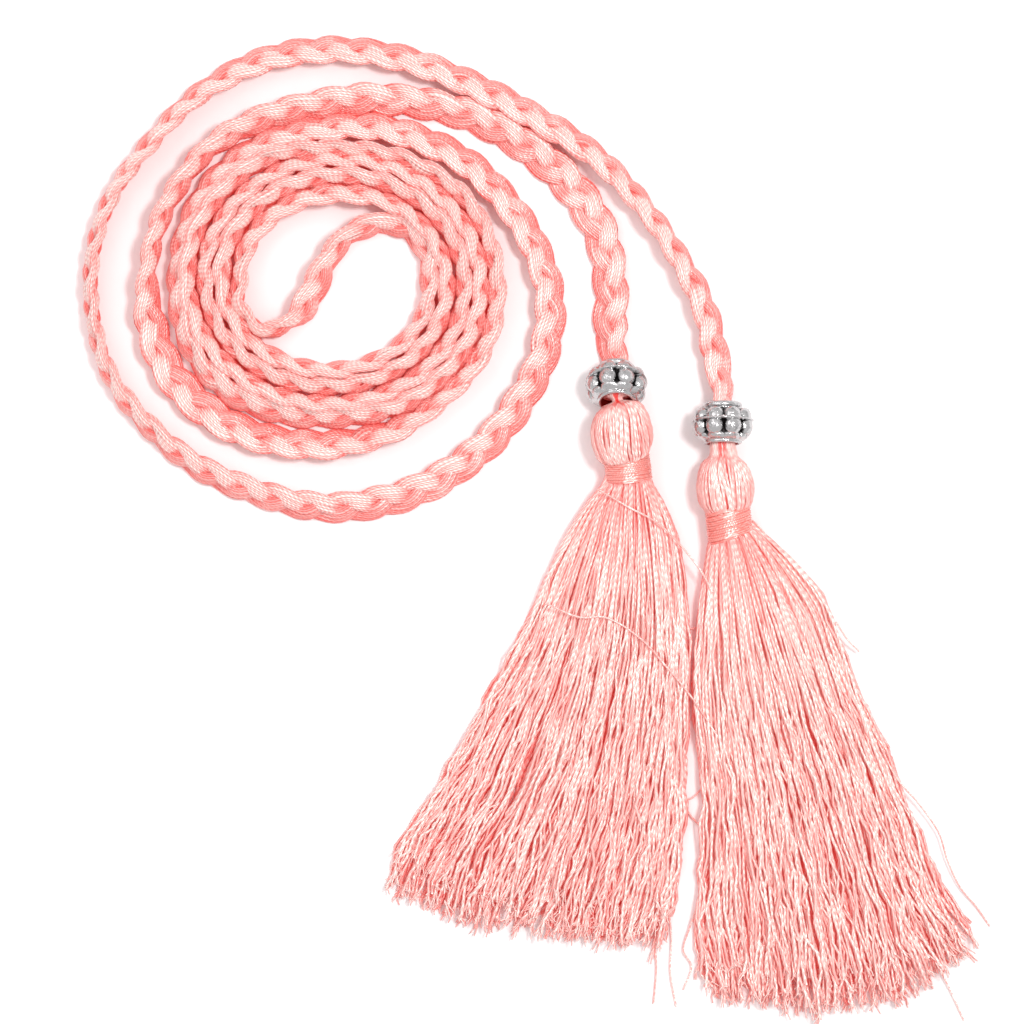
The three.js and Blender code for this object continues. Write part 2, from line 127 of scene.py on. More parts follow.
# Guide lines of each skirt, edge to edge, from the binding to the ends, as the cord's points
SKIRT_GUIDES = {
    "left": (
        ((0.0549, -0.0378), (0.0543, -0.0398), (0.0511, -0.0438), (0.0481, -0.0484), (0.0429, -0.0580),
         (0.0391, -0.0674), (0.0359, -0.0736), (0.0307, -0.0832), (0.0265, -0.0918),
         (0.0221, -0.0998), (0.0177, -0.1068), (0.0135, -0.1138), (0.0115, -0.1200)),
        ((0.0567, -0.0378), (0.0565, -0.0400), (0.0545, -0.0458), (0.0521, -0.0558), (0.0481, -0.0718),
         (0.0427, -0.0878), (0.0371, -0.1018), (0.0311, -0.1138), (0.0275, -0.1228),
         (0.0263, -0.1274)),
        ((0.0586, -0.0378), (0.0587, -0.0402), (0.0583, -0.0478), (0.0575, -0.0598), (0.0555, -0.0758),
         (0.0523, -0.0918), (0.0487, -0.1058), (0.0451, -0.1178), (0.0415, -0.1286)),
        ((0.0605, -0.0377), (0.0611, -0.0400), (0.0621, -0.0478), (0.0631, -0.0598), (0.0631, -0.0758),
         (0.0615, -0.0918), (0.0591, -0.1058), (0.0561, -0.1198), (0.0535, -0.1304)),
        ((0.0624, -0.0375), (0.0631, -0.0398), (0.0659, -0.0448), (0.0685, -0.0510), (0.0699, -0.0598),
         (0.0707, -0.0702), (0.0707, -0.0832), (0.0703, -0.0958), (0.0701, -0.1044),
         (0.0691, -0.1158), (0.0675, -0.1248), (0.0653, -0.1318)),
    ),
    "right": (
        ((0.0755, -0.0500), (0.0749, -0.0528), (0.0741, -0.0584), (0.0733, -0.0634), (0.0725, -0.0718),
         (0.0719, -0.0826), (0.0729, -0.0916), (0.0739, -0.1004), (0.0741, -0.1094),
         (0.0731, -0.1198), (0.0727, -0.1318), (0.0747, -0.1414)),
        ((0.0772, -0.0496), (0.0773, -0.0524), (0.0775, -0.0598), (0.0783, -0.0718), (0.0799, -0.0878),
         (0.0823, -0.1038), (0.0843, -0.1198), (0.0857, -0.1338), (0.0865, -0.1440)),
        ((0.0790, -0.0491), (0.0799, -0.0516), (0.0821, -0.0598), (0.0847, -0.0718), (0.0883, -0.0878),
         (0.0923, -0.1038), (0.0955, -0.1198), (0.0979, -0.1328), (0.0995, -0.1442)),
        ((0.0808, -0.0486), (0.0825, -0.0507), (0.0867, -0.0588), (0.0911, -0.0698), (0.0961, -0.0838),
         (0.1011, -0.0998), (0.1055, -0.1158), (0.1095, -0.1298), (0.1131, -0.1428)),
        ((0.0825, -0.0478), (0.0845, -0.0493), (0.0895, -0.0538), (0.0943, -0.0588), (0.0983, -0.0642),
         (0.1011, -0.0718), (0.1043, -0.0798), (0.1067, -0.0858), (0.1099, -0.0928),
         (0.1131, -0.1008), (0.1163, -0.1088), (0.1195, -0.1168), (0.1227, -0.1238),
         (0.1255, -0.1274), (0.1279, -0.1314)),
    ),
}
# Threads that have come away from their skirt, each with its height at its two ends
LOOSE_ENDS = {
    "left": (
        (0.0070, 0.0042, ((0.0421, -0.0644), (0.0491, -0.0672), (0.0541, -0.0672),
         (0.0611, -0.0714), (0.0661, -0.0768), (0.0711, -0.0828), (0.0771, -0.0918))),
        (0.0078, 0.0050, ((0.0525, -0.0416), (0.0587, -0.0452), (0.0651, -0.0488),
         (0.0731, -0.0578), (0.0755, -0.0622))),
        (0.0010, 0.0008, ((0.0691, -0.0690), (0.0711, -0.0696), (0.0729, -0.0694))),
        (0.0008, 0.0010, ((0.0675, -0.1022), (0.0711, -0.1038), (0.0735, -0.1018),
         (0.0757, -0.0996))),
        (0.0006, 0.0014, ((0.0691, -0.1038), (0.0719, -0.1078), (0.0739, -0.1096),
         (0.0763, -0.1104))),
        (0.0014, 0.0004, ((0.0643, -0.1248), (0.0641, -0.1318), (0.0645, -0.1374),
         (0.0639, -0.1450))),
        (0.0012, 0.0004, ((0.0667, -0.1238), (0.0675, -0.1318), (0.0673, -0.1388),
         (0.0685, -0.1456))),
        (0.0016, 0.0004, ((0.0271, -0.0928), (0.0227, -0.0962), (0.0203, -0.1018),
         (0.0167, -0.1062), (0.0139, -0.1110))),
        (0.0010, 0.0004, ((0.0191, -0.1062), (0.0151, -0.1114), (0.0123, -0.1154),
         (0.0107, -0.1206))),
    ),
    "right": (
        (0.0034, 0.0004, ((0.1091, -0.0928), (0.1125, -0.0994), (0.1173, -0.1050),
         (0.1211, -0.1106), (0.1229, -0.1162), (0.1255, -0.1216), (0.1287, -0.1254),
         (0.1315, -0.1294))),
        (0.0030, 0.0004, ((0.1141, -0.1218), (0.1175, -0.1298), (0.1199, -0.1354),
         (0.1231, -0.1414), (0.1263, -0.1484))),
        (0.0016, 0.0004, ((0.0731, -0.1238), (0.0711, -0.1298), (0.0699, -0.1342),
         (0.0715, -0.1374), (0.0699, -0.1422))),
        (0.0012, 0.0004, ((0.0739, -0.1288), (0.0727, -0.1338), (0.0739, -0.1374),
         (0.0747, -0.1406))),
        (0.0012, 0.0020, ((0.1027, -0.0774), (0.1043, -0.0818), (0.1035, -0.0862),
         (0.1055, -0.0894))),
        (0.0040, 0.0050, ((0.0815, -0.0486), (0.0835, -0.0480), (0.0847, -0.0490),
         (0.0859, -0.0504))),
        (0.0020, 0.0044, ((0.1051, -0.0742), (0.1027, -0.0718), (0.1003, -0.0682))),
    ),
}
# Each head's middle line from inside the bead: place, height and half width
HEAD_LINES = {
    "left": (
        (0.0563, -0.0200, 0.0052, 0.0026), (0.0563, -0.0222, 0.0065, 0.0029),
        (0.0564, -0.0229, 0.0069, 0.0028), (0.0564, -0.0233, 0.0070, 0.0013),
        (0.0565, -0.0237, 0.0071, 0.0009), (0.0566, -0.0242, 0.0071, 0.0011),
        (0.0567, -0.0245, 0.0071, 0.0027), (0.0568, -0.0250, 0.0071, 0.0037),
        (0.0570, -0.0259, 0.0071, 0.0046), (0.0572, -0.0277, 0.0071, 0.0055),
        (0.0573, -0.0298, 0.0069, 0.0060), (0.0575, -0.0318, 0.0064, 0.0060),
        (0.0578, -0.0336, 0.0059, 0.0056), (0.0581, -0.0346, 0.0055, 0.0050),
        (0.0583, -0.0354, 0.0052, 0.0042), (0.0588, -0.0382, 0.0047, 0.0038),
    ),
    "right": (
        (0.0775, -0.0290, 0.0062, 0.0022), (0.0775, -0.0325, 0.0063, 0.0024),
        (0.0777, -0.0345, 0.0062, 0.0026), (0.0777, -0.0352, 0.0062, 0.0027),
        (0.0777, -0.0356, 0.0062, 0.0031), (0.0777, -0.0361, 0.0062, 0.0038),
        (0.0777, -0.0370, 0.0062, 0.0045), (0.0778, -0.0385, 0.0061, 0.0051),
        (0.0780, -0.0408, 0.0058, 0.0056), (0.0782, -0.0430, 0.0055, 0.0055),
        (0.0784, -0.0445, 0.0051, 0.0050), (0.0785, -0.0456, 0.0049, 0.0042),
        (0.0789, -0.0485, 0.0046, 0.0038),
    ),
}
# Each binding: its two end middles with heights, half width at both ends, and its wraps' slant
BINDING_LINES = {
    "left": (((0.0583, -0.0349, 0.0052), (0.0590, -0.0400, 0.0046)), (0.0045, 0.0044), -0.03),
    "right": (((0.0785, -0.0451, 0.0050), (0.0792, -0.0514, 0.0046)), (0.0044, 0.0044), 0.22),
}
HEAD_FLATTENING = 0.88


def coil_middle():
    low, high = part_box("cord_coil")
    return Vector(((low.x + high.x) / 2, (low.y + high.y) / 2, 0.0))


COIL = coil_middle()
TURN = 2 * math.pi


def from_coil(place, height=0.0):
    """A place given from the middle of the coil, in the row frame."""
    return Vector((COIL.x + place[0], COIL.y + place[1], place[2] if len(place) > 2 else height))


# Sizes and colours

def metres(name, description, default, low):
    return bpy.props.FloatProperty(name=name, description=description, default=default, min=low,
                                   unit="LENGTH", subtype="DISTANCE")


def whole_number(name, description, default, low, high):
    return bpy.props.IntProperty(name=name, description=description, default=default,
                                 min=low, max=high)


def tone(name, description, default):
    return bpy.props.FloatVectorProperty(name=name, description=description, default=default,
                                         subtype="COLOR", size=3, min=0.0, max=1.0)


class CordSizes(bpy.types.PropertyGroup):
    plait_width: metres("Plait width", "Width of the flat three-strand plait", 0.0076, 0.003)
    plait_thickness: metres("Plait thickness", "Thickness of the flat plait", 0.0029, 0.001)
    plait_length: metres(
        "Plait length", "Length in which a strand crosses over and comes back", 0.021, 0.005)
    strand_width: metres("Strand width", "Width of one strand of the plait", 0.0038, 0.001)
    strand_thickness: metres(
        "Strand thickness", "Thickness of one strand of the plait", 0.0016, 0.0005)
    yarns: whole_number("Yarns", "Yarns round one strand", 17, 6, 30)
    ring_step: metres("Ring step", "Length between two rings of the mesh", 0.0012, 0.0006)


class TasselSizes(bpy.types.PropertyGroup):
    skirt_threads: whole_number("Skirt threads", "Threads in one skirt", 470, 50, 700)
    thread_width: metres("Thread width", "Width of one thread of a skirt", 0.00062, 0.0002)
    head_yarns: whole_number("Head yarns", "Yarns laid round one head", 84, 20, 160)
    wraps: whole_number("Wraps", "Turns of thread round one binding", 13, 5, 40)
    waviness: metres("Waviness", "How far a thread's end wanders sideways", 0.0084, 0.0)
    seed: whole_number("Seed", "Number that fixes the threads' random places", 11, 0, 9999)


class BeadSizes(bpy.types.PropertyGroup):
    balls: whole_number("Balls", "Balls and petals round a bead", 8, 6, 16)
    ball_radius: metres("Ball radius", "Radius of one ball", 0.00192, 0.0005)
    petal_depth: metres(
        "Petal depth", "How deep the valleys between petals are", 0.00055, 0.0)


class Colours(bpy.types.PropertyGroup):
    yarn_light: tone("Yarn", "Colour of the yarn where light falls on it", (0.88, 0.46, 0.425))
    # Painted shade: the colour of the yarn where it lies between its neighbours
    yarn_painted_shade: tone(
        "Yarn, deep", "Colour of the yarn between its neighbours", (0.78, 0.055, 0.045))
    # Painted highlight: the colour of the cream glints on the yarn
    yarn_painted_glint: tone(
        "Yarn, glint", "Colour of the yarn's brightest fibres", (0.98, 0.92, 0.865))
    binding: tone("Binding", "Colour of the thread wound round each tassel", (0.85, 0.28, 0.24))
    floor: tone("Floor", "Colour of the floor", (0.93, 0.92, 0.925))


# Node trees

def socket_of(sockets, place):
    usable = [s for s in sockets if s.enabled]
    if isinstance(place, int):
        return usable[place]
    for socket in usable:
        if socket.name == place:
            return socket
    raise KeyError(f"no socket {place!r} in {[s.name for s in usable]}")


class Reading:
    """One output of a node tree. Arithmetic on it adds Math nodes."""

    def __init__(self, tree, socket):
        self.tree = tree
        self.socket = socket

    def math(self, operation, *others):
        inputs = {0: self}
        inputs.update({place + 1: other for place, other in enumerate(others)})
        return add(self.tree, "ShaderNodeMath", inputs, operation=operation)

    def __add__(self, other):
        return self.math("ADD", other)

    def __sub__(self, other):
        return self.math("SUBTRACT", other)

    def __mul__(self, other):
        return self.math("MULTIPLY", other)

    def __truediv__(self, other):
        return self.math("DIVIDE", other)

    def less_from(self, whole):
        return add(self.tree, "ShaderNodeMath", {0: whole, 1: self}, operation="SUBTRACT")

    def power(self, other):
        return self.math("POWER", other)

    def sine(self):
        return self.math("SINE")

    def cosine(self):
        return self.math("COSINE")

    def whole(self):
        return self.math("FLOOR")

    def size(self):
        return self.math("ABSOLUTE")

    def at_least(self, other):
        return self.math("MAXIMUM", other)

    def at_most(self, other):
        return self.math("MINIMUM", other)


def add(tree, kind, inputs=None, output=0, **settings):
    """Adds a node, joins its inputs or sets their values, and gives back one of its outputs."""
    node = tree.nodes.new(kind)
    for name, value in settings.items():
        setattr(node, name, value)
    for place, value in (inputs or {}).items():
        socket = socket_of(node.inputs, place)
        if isinstance(value, Reading):
            tree.links.new(value.socket, socket)
        else:
            socket.default_value = value
    return Reading(tree, socket_of(node.outputs, output))


def vector(tree, x=0.0, y=0.0, z=0.0):
    return add(tree, "ShaderNodeCombineXYZ", {0: x, 1: y, 2: z})


def both(first, second):
    return add(first.tree, "ShaderNodeVectorMath", {0: first, 1: second}, operation="ADD")


def scaled(way, amount):
    return add(way.tree, "ShaderNodeVectorMath", {0: way, "Scale": amount}, operation="SCALE")


def crossed(first, second):
    return add(first.tree, "ShaderNodeVectorMath", {0: first, 1: second},
               operation="CROSS_PRODUCT")


def height_of(way):
    """How far a direction points up."""
    return add(way.tree, "ShaderNodeVectorMath", {0: way, 1: (0.0, 0.0, 1.0)},
               output="Value", operation="DOT_PRODUCT")


def mixed(first, second, share):
    return both(scaled(first, share.less_from(1.0)), scaled(second, share))


def normalized(way):
    return add(way.tree, "ShaderNodeVectorMath", {0: way}, operation="NORMALIZE")


def smooth_noise(tree, place, spread=1.0):
    """Noise from -spread to spread at a place."""
    noise = add(tree, "ShaderNodeTexNoise", {"Vector": place, "Scale": 1.0, "Detail": 1.0})
    return (noise - 0.5) * (2.0 * spread)


def noise_at(tree, x, y, z, spread=1.0):
    return smooth_noise(tree, vector(tree, x, y, z), spread)


def eased(tree, value, low, high):
    """Rises from 0 to 1 as the value goes from low to high."""
    return add(tree, "ShaderNodeMapRange", {"Value": value, "From Min": low, "From Max": high},
               interpolation_type="SMOOTHSTEP")


def named(tree, name, data_type="FLOAT"):
    return add(tree, "GeometryNodeInputNamedAttribute", {"Name": name}, data_type=data_type)


def store(geometry, name, value, domain="POINT", data_type="FLOAT"):
    return add(geometry.tree, "GeometryNodeStoreNamedAttribute",
               {"Geometry": geometry, "Name": name, "Value": value},
               domain=domain, data_type=data_type)


def new_tree(name, numbers):
    """A geometry tree with named inputs, whole or not as their defaults are, and their readings."""
    tree = bpy.data.node_groups.new(name, "GeometryNodeTree")
    tree.interface.new_socket("Geometry", in_out="INPUT", socket_type="NodeSocketGeometry")
    for label, default in numbers.items():
        kind = "NodeSocketInt" if isinstance(default, int) else "NodeSocketFloat"
        socket = tree.interface.new_socket(label, in_out="INPUT", socket_type=kind)
        socket.default_value = default
    tree.interface.new_socket("Material", in_out="INPUT", socket_type="NodeSocketMaterial")
    tree.interface.new_socket("Geometry", in_out="OUTPUT", socket_type="NodeSocketGeometry")
    group_in = tree.nodes.new("NodeGroupInput")
    inputs = {s.name: Reading(tree, s) for s in group_in.outputs if s.name}
    return tree, inputs


def close_tree(tree, geometry, material):
    """Ends the tree in Realize Instances and Set Material."""
    real = add(tree, "GeometryNodeRealizeInstances", {"Geometry": geometry})
    done = add(tree, "GeometryNodeSetMaterial", {"Geometry": real, "Material": material})
    group_out = tree.nodes.new("NodeGroupOutput")
    tree.links.new(done.socket, group_out.inputs["Geometry"])


def linked(name, data):
    """A new object in the scene."""
    piece = bpy.data.objects.new(name, data)
    bpy.context.scene.collection.objects.link(piece)
    return piece


def run_tree(name, base_mesh, tree, values):
    """Runs a geometry tree on a base mesh, and gives back a plain mesh object."""
    carrier = linked(name + "_base", base_mesh)
    modifier = carrier.modifiers.new("Nodes", "NODES")
    modifier.node_group = tree
    identifiers = {item.name: item.identifier for item in tree.interface.items_tree
                   if item.item_type == "SOCKET" and item.in_out == "INPUT"}
    for label, value in values.items():
        modifier[identifiers[label]] = value
    bpy.context.view_layer.update()
    evaluated = carrier.evaluated_get(bpy.context.evaluated_depsgraph_get())
    mesh = bpy.data.meshes.new_from_object(evaluated)
    bpy.data.objects.remove(carrier)
    mesh.name = name
    mesh.shade_smooth()
    return linked(name, mesh)


def chains(name, lines, facts=None):
    """A mesh of open chains of points, with facts for each point as attributes."""
    mesh = bpy.data.meshes.new(name)
    points = [tuple(point) for line in lines for point in line]
    edges, first = [], 0
    for line in lines:
        edges += [(first + step, first + step + 1) for step in range(len(line) - 1)]
        first += len(line)
    mesh.from_pydata(points, edges, [])
    for label, values in (facts or {}).items():
        vectors = hasattr(values[0], "__len__")
        attribute = mesh.attributes.new(label, "FLOAT_VECTOR" if vectors else "FLOAT", "POINT")
        for place, value in enumerate(values):
            if vectors:
                attribute.data[place].vector = value
            else:
                attribute.data[place].value = value
    return mesh


# The cord's way

def smoothed(share):
    """A share from 0 to 1 that starts and ends slowly."""
    return share * share * (3 - 2 * share)


def smooth_line(points, steps):
    """A centripetal curve through the points, as many steps from each point to the next."""
    line = [Vector(point) for point in points]
    line = [line[0] * 2 - line[1]] + line + [line[-1] * 2 - line[-2]]
    out = []
    for p0, p1, p2, p3 in zip(line, line[1:], line[2:], line[3:]):
        t0 = 0.0
        t1 = t0 + math.sqrt((p1 - p0).length)
        t2 = t1 + math.sqrt((p2 - p1).length)
        t3 = t2 + math.sqrt((p3 - p2).length)
        for step in range(steps):
            t = t1 + (t2 - t1) * step / steps
            a1 = p0.lerp(p1, (t - t0) / (t1 - t0))
            a2 = p1.lerp(p2, (t - t1) / (t2 - t1))
            a3 = p2.lerp(p3, (t - t2) / (t3 - t2))
            b1 = a1.lerp(a2, (t - t0) / (t2 - t0))
            b2 = a2.lerp(a3, (t - t1) / (t3 - t1))
            out.append(b1.lerp(b2, (t - t1) / (t2 - t1)))
    out.append(line[-2])
    return out


def even_line(line, step):
    """The same line with its points a fixed step apart."""
    out, need = [line[0].copy()], step
    for start, end in zip(line, line[1:]):
        span = (end - start).length
        while need <= span:
            out.append(start.lerp(end, need / span))
            need += step
        need -= span
    return out


def reading_of(table, place):
    """The value of a table of (place, value) rows, eased between its rows."""
    if place <= table[0][0]:
        return table[0][1]
    for (low, first), (high, second) in zip(table, table[1:]):
        if place <= high:
            return first + (second - first) * smoothed((place - low) / (high - low))
    return table[-1][1]


def bead_axis(side):
    """The way from the tassel's end of a bead to the cord's end."""
    tilt = math.radians(BEADS[side]["tilt"])
    return Vector((0.0, math.cos(tilt), -math.sin(tilt)))


def bead_middle(side):
    bead = BEADS[side]
    return from_coil(bead["place"], bead["height"])


def coil_arm(start_angle):
    """One arm of the coil, from the inside out."""
    points = []
    for step in range(1, int(ARM_STEPS * ARM_TURNS)):
        turn = step / ARM_STEPS
        radius = ARM_START + ARM_GROWTH * turn
        oval = ARM_OVAL - ARM_OVAL_LOSS * turn
        angle = start_angle - TURN * turn
        points.append((radius * (1 + oval) * math.cos(angle),
                       radius * (1 - oval) * math.sin(angle)))
    return points


def whole_way():
    """The cord from the left bead to the right bead: flat points, and its height in the beads."""
    flat = list(reversed(LEFT_ROUTE)) + list(reversed(coil_arm(0.0)))
    flat += list(reversed(MIDDLE_ROUTE)) + coil_arm(math.pi) + list(RIGHT_ROUTE)
    on_floor = [from_coil(point) for point in flat]
    left, right = ([bead_middle(side), bead_middle(side) + bead_axis(side) * MOUTH_FROM_MIDDLE]
                   for side in ("left", "right"))
    return even_line(smooth_line(left + on_floor + right[::-1], WAY_CURVE_STEPS), WAY_STEP)


class CordWay:
    """The cord's middle line with its roll: places, ways across and how far it is squeezed."""

    def __init__(self, sizes):
        wide, thick = sizes.plait_width, sizes.plait_thickness
        line = whole_way()
        last = len(line) - 1
        self.length = last * WAY_STEP
        self.points, self.across, self.squeeze = [], [], []
        for place, point in enumerate(line):
            along = place * WAY_STEP
            seen = min(max(reading_of(SEEN_WIDTHS, along), thick), wide)
            roll = math.acos(math.sqrt((seen ** 2 - thick ** 2) / (wide ** 2 - thick ** 2)))
            way = (line[min(place + 1, last)] - line[max(place - 1, 0)]).normalized()
            flat_side = way.cross(Vector((0, 0, 1))).normalized()
            upwards = flat_side.cross(way).normalized()
            across = flat_side * math.cos(roll) + upwards * math.sin(roll)
            stands = math.hypot(wide / 2 * math.sin(roll), thick / 2 * math.cos(roll))
            from_end = min(along, self.length - along)
            inside = smoothed(max(0.0, min(1.0, 1.0 - (from_end - INSIDE_BEAD) / COMES_DOWN_IN)))
            height = max(point.z, 0.0) * inside + stands * (1 - inside)
            self.points.append(Vector((point.x, point.y, max(height, stands * LOWEST_STAND))))
            self.across.append(across)
            self.squeeze.append(1.0 - BEAD_SQUEEZE * inside)

    def stretch(self, start, end):
        first, last = round(start / WAY_STEP), round(end / WAY_STEP)
        return self.points[first:last + 1]


# The plait and the tassels' threads

def straight(tree, steps):
    """A straight line of evenly spaced points."""
    rail = add(tree, "GeometryNodeCurvePrimitiveLine", {"End": (0.0, 0.0, 1.0)})
    return add(tree, "GeometryNodeResampleCurve", {"Curve": rail, "Count": steps}, mode="COUNT")


def copied(rail, count, name):
    """Copies of a line, each point knowing its copy's number by that name."""
    copies = add(rail.tree, "GeometryNodeDuplicateElements", {"Geometry": rail, "Amount": count},
                 "Geometry", domain="SPLINE")
    number = Reading(rail.tree, copies.socket.node.outputs["Duplicate Index"])
    return store(copies, name, number)


def thread_rail(tree, count, steps):
    """Many copies of one line, each point knowing its share along it and its thread's number."""
    share = add(tree, "GeometryNodeSplineParameter")
    return copied(store(straight(tree, steps), "share", share), count, "thread")


def swept(line, sides, ring_radius, scale=1.0):
    """A closed tube along each line, which knows its way round as a share."""
    ring = add(line.tree, "GeometryNodeCurvePrimitiveCircle",
               {"Resolution": sides, "Radius": ring_radius})
    ring = store(ring, "around", add(line.tree, "GeometryNodeSplineParameter"))
    return add(line.tree, "GeometryNodeCurveToMesh", {
        "Curve": line, "Profile Curve": ring, "Scale": scale, "Fill Caps": True})


def tubed(tree, line, radius, sides):
    """A closed tube round each line, with its length and its way round kept for the material."""
    line = store(line, "along", add(tree, "GeometryNodeSplineParameter", output="Length"))
    return swept(line, sides, 1.0, radius)


# Radius of a ring whose points are placed afterwards
CORE_RING = 0.001


def drawn(tree, low, high, number, seed):
    """A random number for each thread."""
    return add(tree, "FunctionNodeRandomValue",
               {"Min": low, "Max": high, "ID": number, "Seed": seed}, data_type="FLOAT")


def sampled(tree, curve, place, output, name=None, kind="FLOAT", mode="FACTOR", index=0):
    """A curve's place, way or named attribute, at a share of it or at a length along it."""
    inputs = {"Curves": curve, mode.capitalize(): place, "Curve Index": index}
    settings = {"mode": mode, "use_all_curves": False}
    if name:
        settings["data_type"] = kind
        inputs["Value"] = named(tree, name, kind)
    return add(tree, "GeometryNodeSampleCurve", inputs, output=output, **settings)


def on_body(body, share, angle, out, flattening):
    """A place round a middle line that carries its half width, how wide it is, and its way."""
    tree = body.tree
    radius = sampled(tree, body, share, "Value", "half_width") * out
    tangent = sampled(tree, body, share, "Tangent")
    side = normalized(crossed(tangent, vector(tree, 0.0, 0.0, 1.0)))
    sideways = scaled(side, radius * angle.cosine())
    upwards = scaled(crossed(side, tangent), radius * angle.sine() * flattening)
    middle = sampled(tree, body, share, "Position")
    return both(middle, both(sideways, upwards)), radius, tangent


def moved(line, place):
    return add(line.tree, "GeometryNodeSetPosition", {"Geometry": line, "Position": place})


def together(*parts):
    joined = parts[0].tree.nodes.new("GeometryNodeJoinGeometry")
    for part in parts:
        part.tree.links.new(part.socket, joined.inputs[0])
    return Reading(parts[0].tree, joined.outputs[0])


# Keeps a whole number from falling to the one below it
NUDGE = 0.001
# Corners of the mesh for each yarn, and how far the crossings and the yarns go astray
CORNERS_A_YARN = 3.0
UNSTEADY_SWING = 0.16
UNEVEN_YARNS = 1.3
YARN_DRIFT = 0.22
# Painted shade by height: fully lit at this height from the middle, this share of it in the middle
LIGHT_AT = 0.0032
LIGHT_IN_MIDDLE = 0.55
# How much painted shade darkens a strand's rims and its low side
RIM_SHADE = 0.60
LOW_SHADE = 0.52


def plait_tree():
    """Three strands of yarns that pass over and under each other along the way."""
    tree, ask = new_tree("Plaited cord", {
        "Start": 0.0, "End": 0.1, "Ring step": 0.0012,
        "Yarns": 17, "Plait length": 0.021, "Swing": 0.0019,
        "Rise": 0.0007, "Strand half width": 0.0019,
        "Strand half thickness": 0.0008, "Yarn relief": 0.00014,
        "Strand lean": 0.34, "Yarn twist": 22.0, "Seed": 3.0,
    })
    way = add(tree, "GeometryNodeMeshToCurve", {"Mesh": ask["Geometry"]})
    span = ask["End"] - ask["Start"]
    rail = straight(tree, (span / ask["Ring step"]).math("ROUND") + 1.0)
    share = add(tree, "GeometryNodeSplineParameter")
    rail = copied(store(rail, "along", share * span + ask["Start"]), 3, "strand")
    tube = swept(rail, ask["Yarns"] * CORNERS_A_YARN, CORE_RING)

    along, strand, around = named(tree, "along"), named(tree, "strand"), named(tree, "around")
    phase = (along / ask["Plait length"] + strand / 3.0) * TURN
    unsteady = noise_at(tree, along * 90.0, strand * 7.3, ask["Seed"], UNSTEADY_SWING)
    side = phase.sine() * ask["Swing"] * (unsteady + 1.0)
    rise = (phase * 2.0).sine() * ask["Rise"]
    slope = phase.cosine() * ask["Strand lean"] * -1.0
    skew = phase.cosine() * ask["Swing"] * TURN / ask["Plait length"]

    yarn = (around * ask["Yarns"] + NUDGE).whole()
    lift = noise_at(tree, along * 160.0, yarn * 3.7 + strand * 41.0, ask["Seed"] + 5.0)
    drift = noise_at(tree, along * 120.0, yarn * 0.9 + strand * 23.0, ask["Seed"] + 9.0,
                     YARN_DRIFT)
    ridge_and_shade = (around * ask["Yarns"] * TURN + math.pi / 3).cosine()
    turn = around * TURN + along * ask["Yarn twist"] + drift
    wide, thick = ask["Strand half width"], ask["Strand half thickness"]
    evening = (wide - thick) / ((wide + thick) * 2.0)
    turn = turn + (turn * 2.0).sine() * evening
    out_x, out_z = turn.cosine() * thick, turn.sine() * wide
    out_length = (out_x * out_x + out_z * out_z).power(0.5)
    relief = (ridge_and_shade + lift * UNEVEN_YARNS) * ask["Yarn relief"] / out_length
    local_x = turn.cosine() * wide + out_x * relief
    local_z = turn.sine() * thick + out_z * relief
    lean = slope.math("ARCTANGENT")
    level = local_x * lean.cosine() - local_z * lean.sine()
    height = local_x * lean.sine() + local_z * lean.cosine()
    stretch = (skew * skew + 1.0).power(-0.5)
    back = level * skew * stretch * -1.0
    sideways = side + level * stretch
    upwards = rise + height

    def from_way(output, name=None, kind="FLOAT"):
        return sampled(tree, way, along + back, output, name, kind, "LENGTH")

    middle = from_way("Position")
    tangent = from_way("Tangent")
    across = normalized(from_way("Value", "across", "FLOAT_VECTOR"))
    squeeze = from_way("Value", "squeeze")
    face = crossed(across, tangent)
    place = both(middle, both(scaled(across, sideways * squeeze), scaled(face, upwards)))
    shaped = moved(tube, place)
    # Painted highlight on the crown, where a strand passes over the others; the lit share paints shade
    # between the yarns, on the strand's rims and on its low side
    lift_side, lift_face = height_of(across), height_of(face)
    strand_lift = lift_side * side + lift_face * rise
    most = lift_side.size() * ask["Swing"] + lift_face.size() * ask["Rise"]
    crown = (strand_lift / (most + 0.0002)).at_least(0.0)
    lift = lift_side * sideways + lift_face * upwards
    light = (lift / LIGHT_AT + LIGHT_IN_MIDDLE).at_most(1.0).at_least(0.0)
    rim = turn.cosine().size().power(5.0)
    ridge_and_shade = (ridge_and_shade * 0.5 + 0.5).power(0.70) * (rim * -RIM_SHADE + 1.0)
    ridge_and_shade = ridge_and_shade * (light * LOW_SHADE + (1.0 - LOW_SHADE))
    shaped = store(shaped, "ridge_and_shade", ridge_and_shade)
    shaped = store(shaped, "yarn", strand * 40.0)
    shaped = store(shaped, "around", around * ask["Yarns"])
    shaped = store(shaped, "crown", crown)
    close_tree(tree, shaped, ask["Material"])
    return tree


# Gaps between the guide lines, the share of threads that aren't short, and the least reach
GUIDE_GAPS = 4.0
NOT_SHORT = 0.955
LEAST_REACH = 0.858
# The share of a thread in which its end splays into fibres, and where it starts
SPLAY_SHARE = 0.024
SPLAY_FROM = 0.985
FIBRES_A_THREAD = 3.0
FIBRE_THINNESS = 0.55


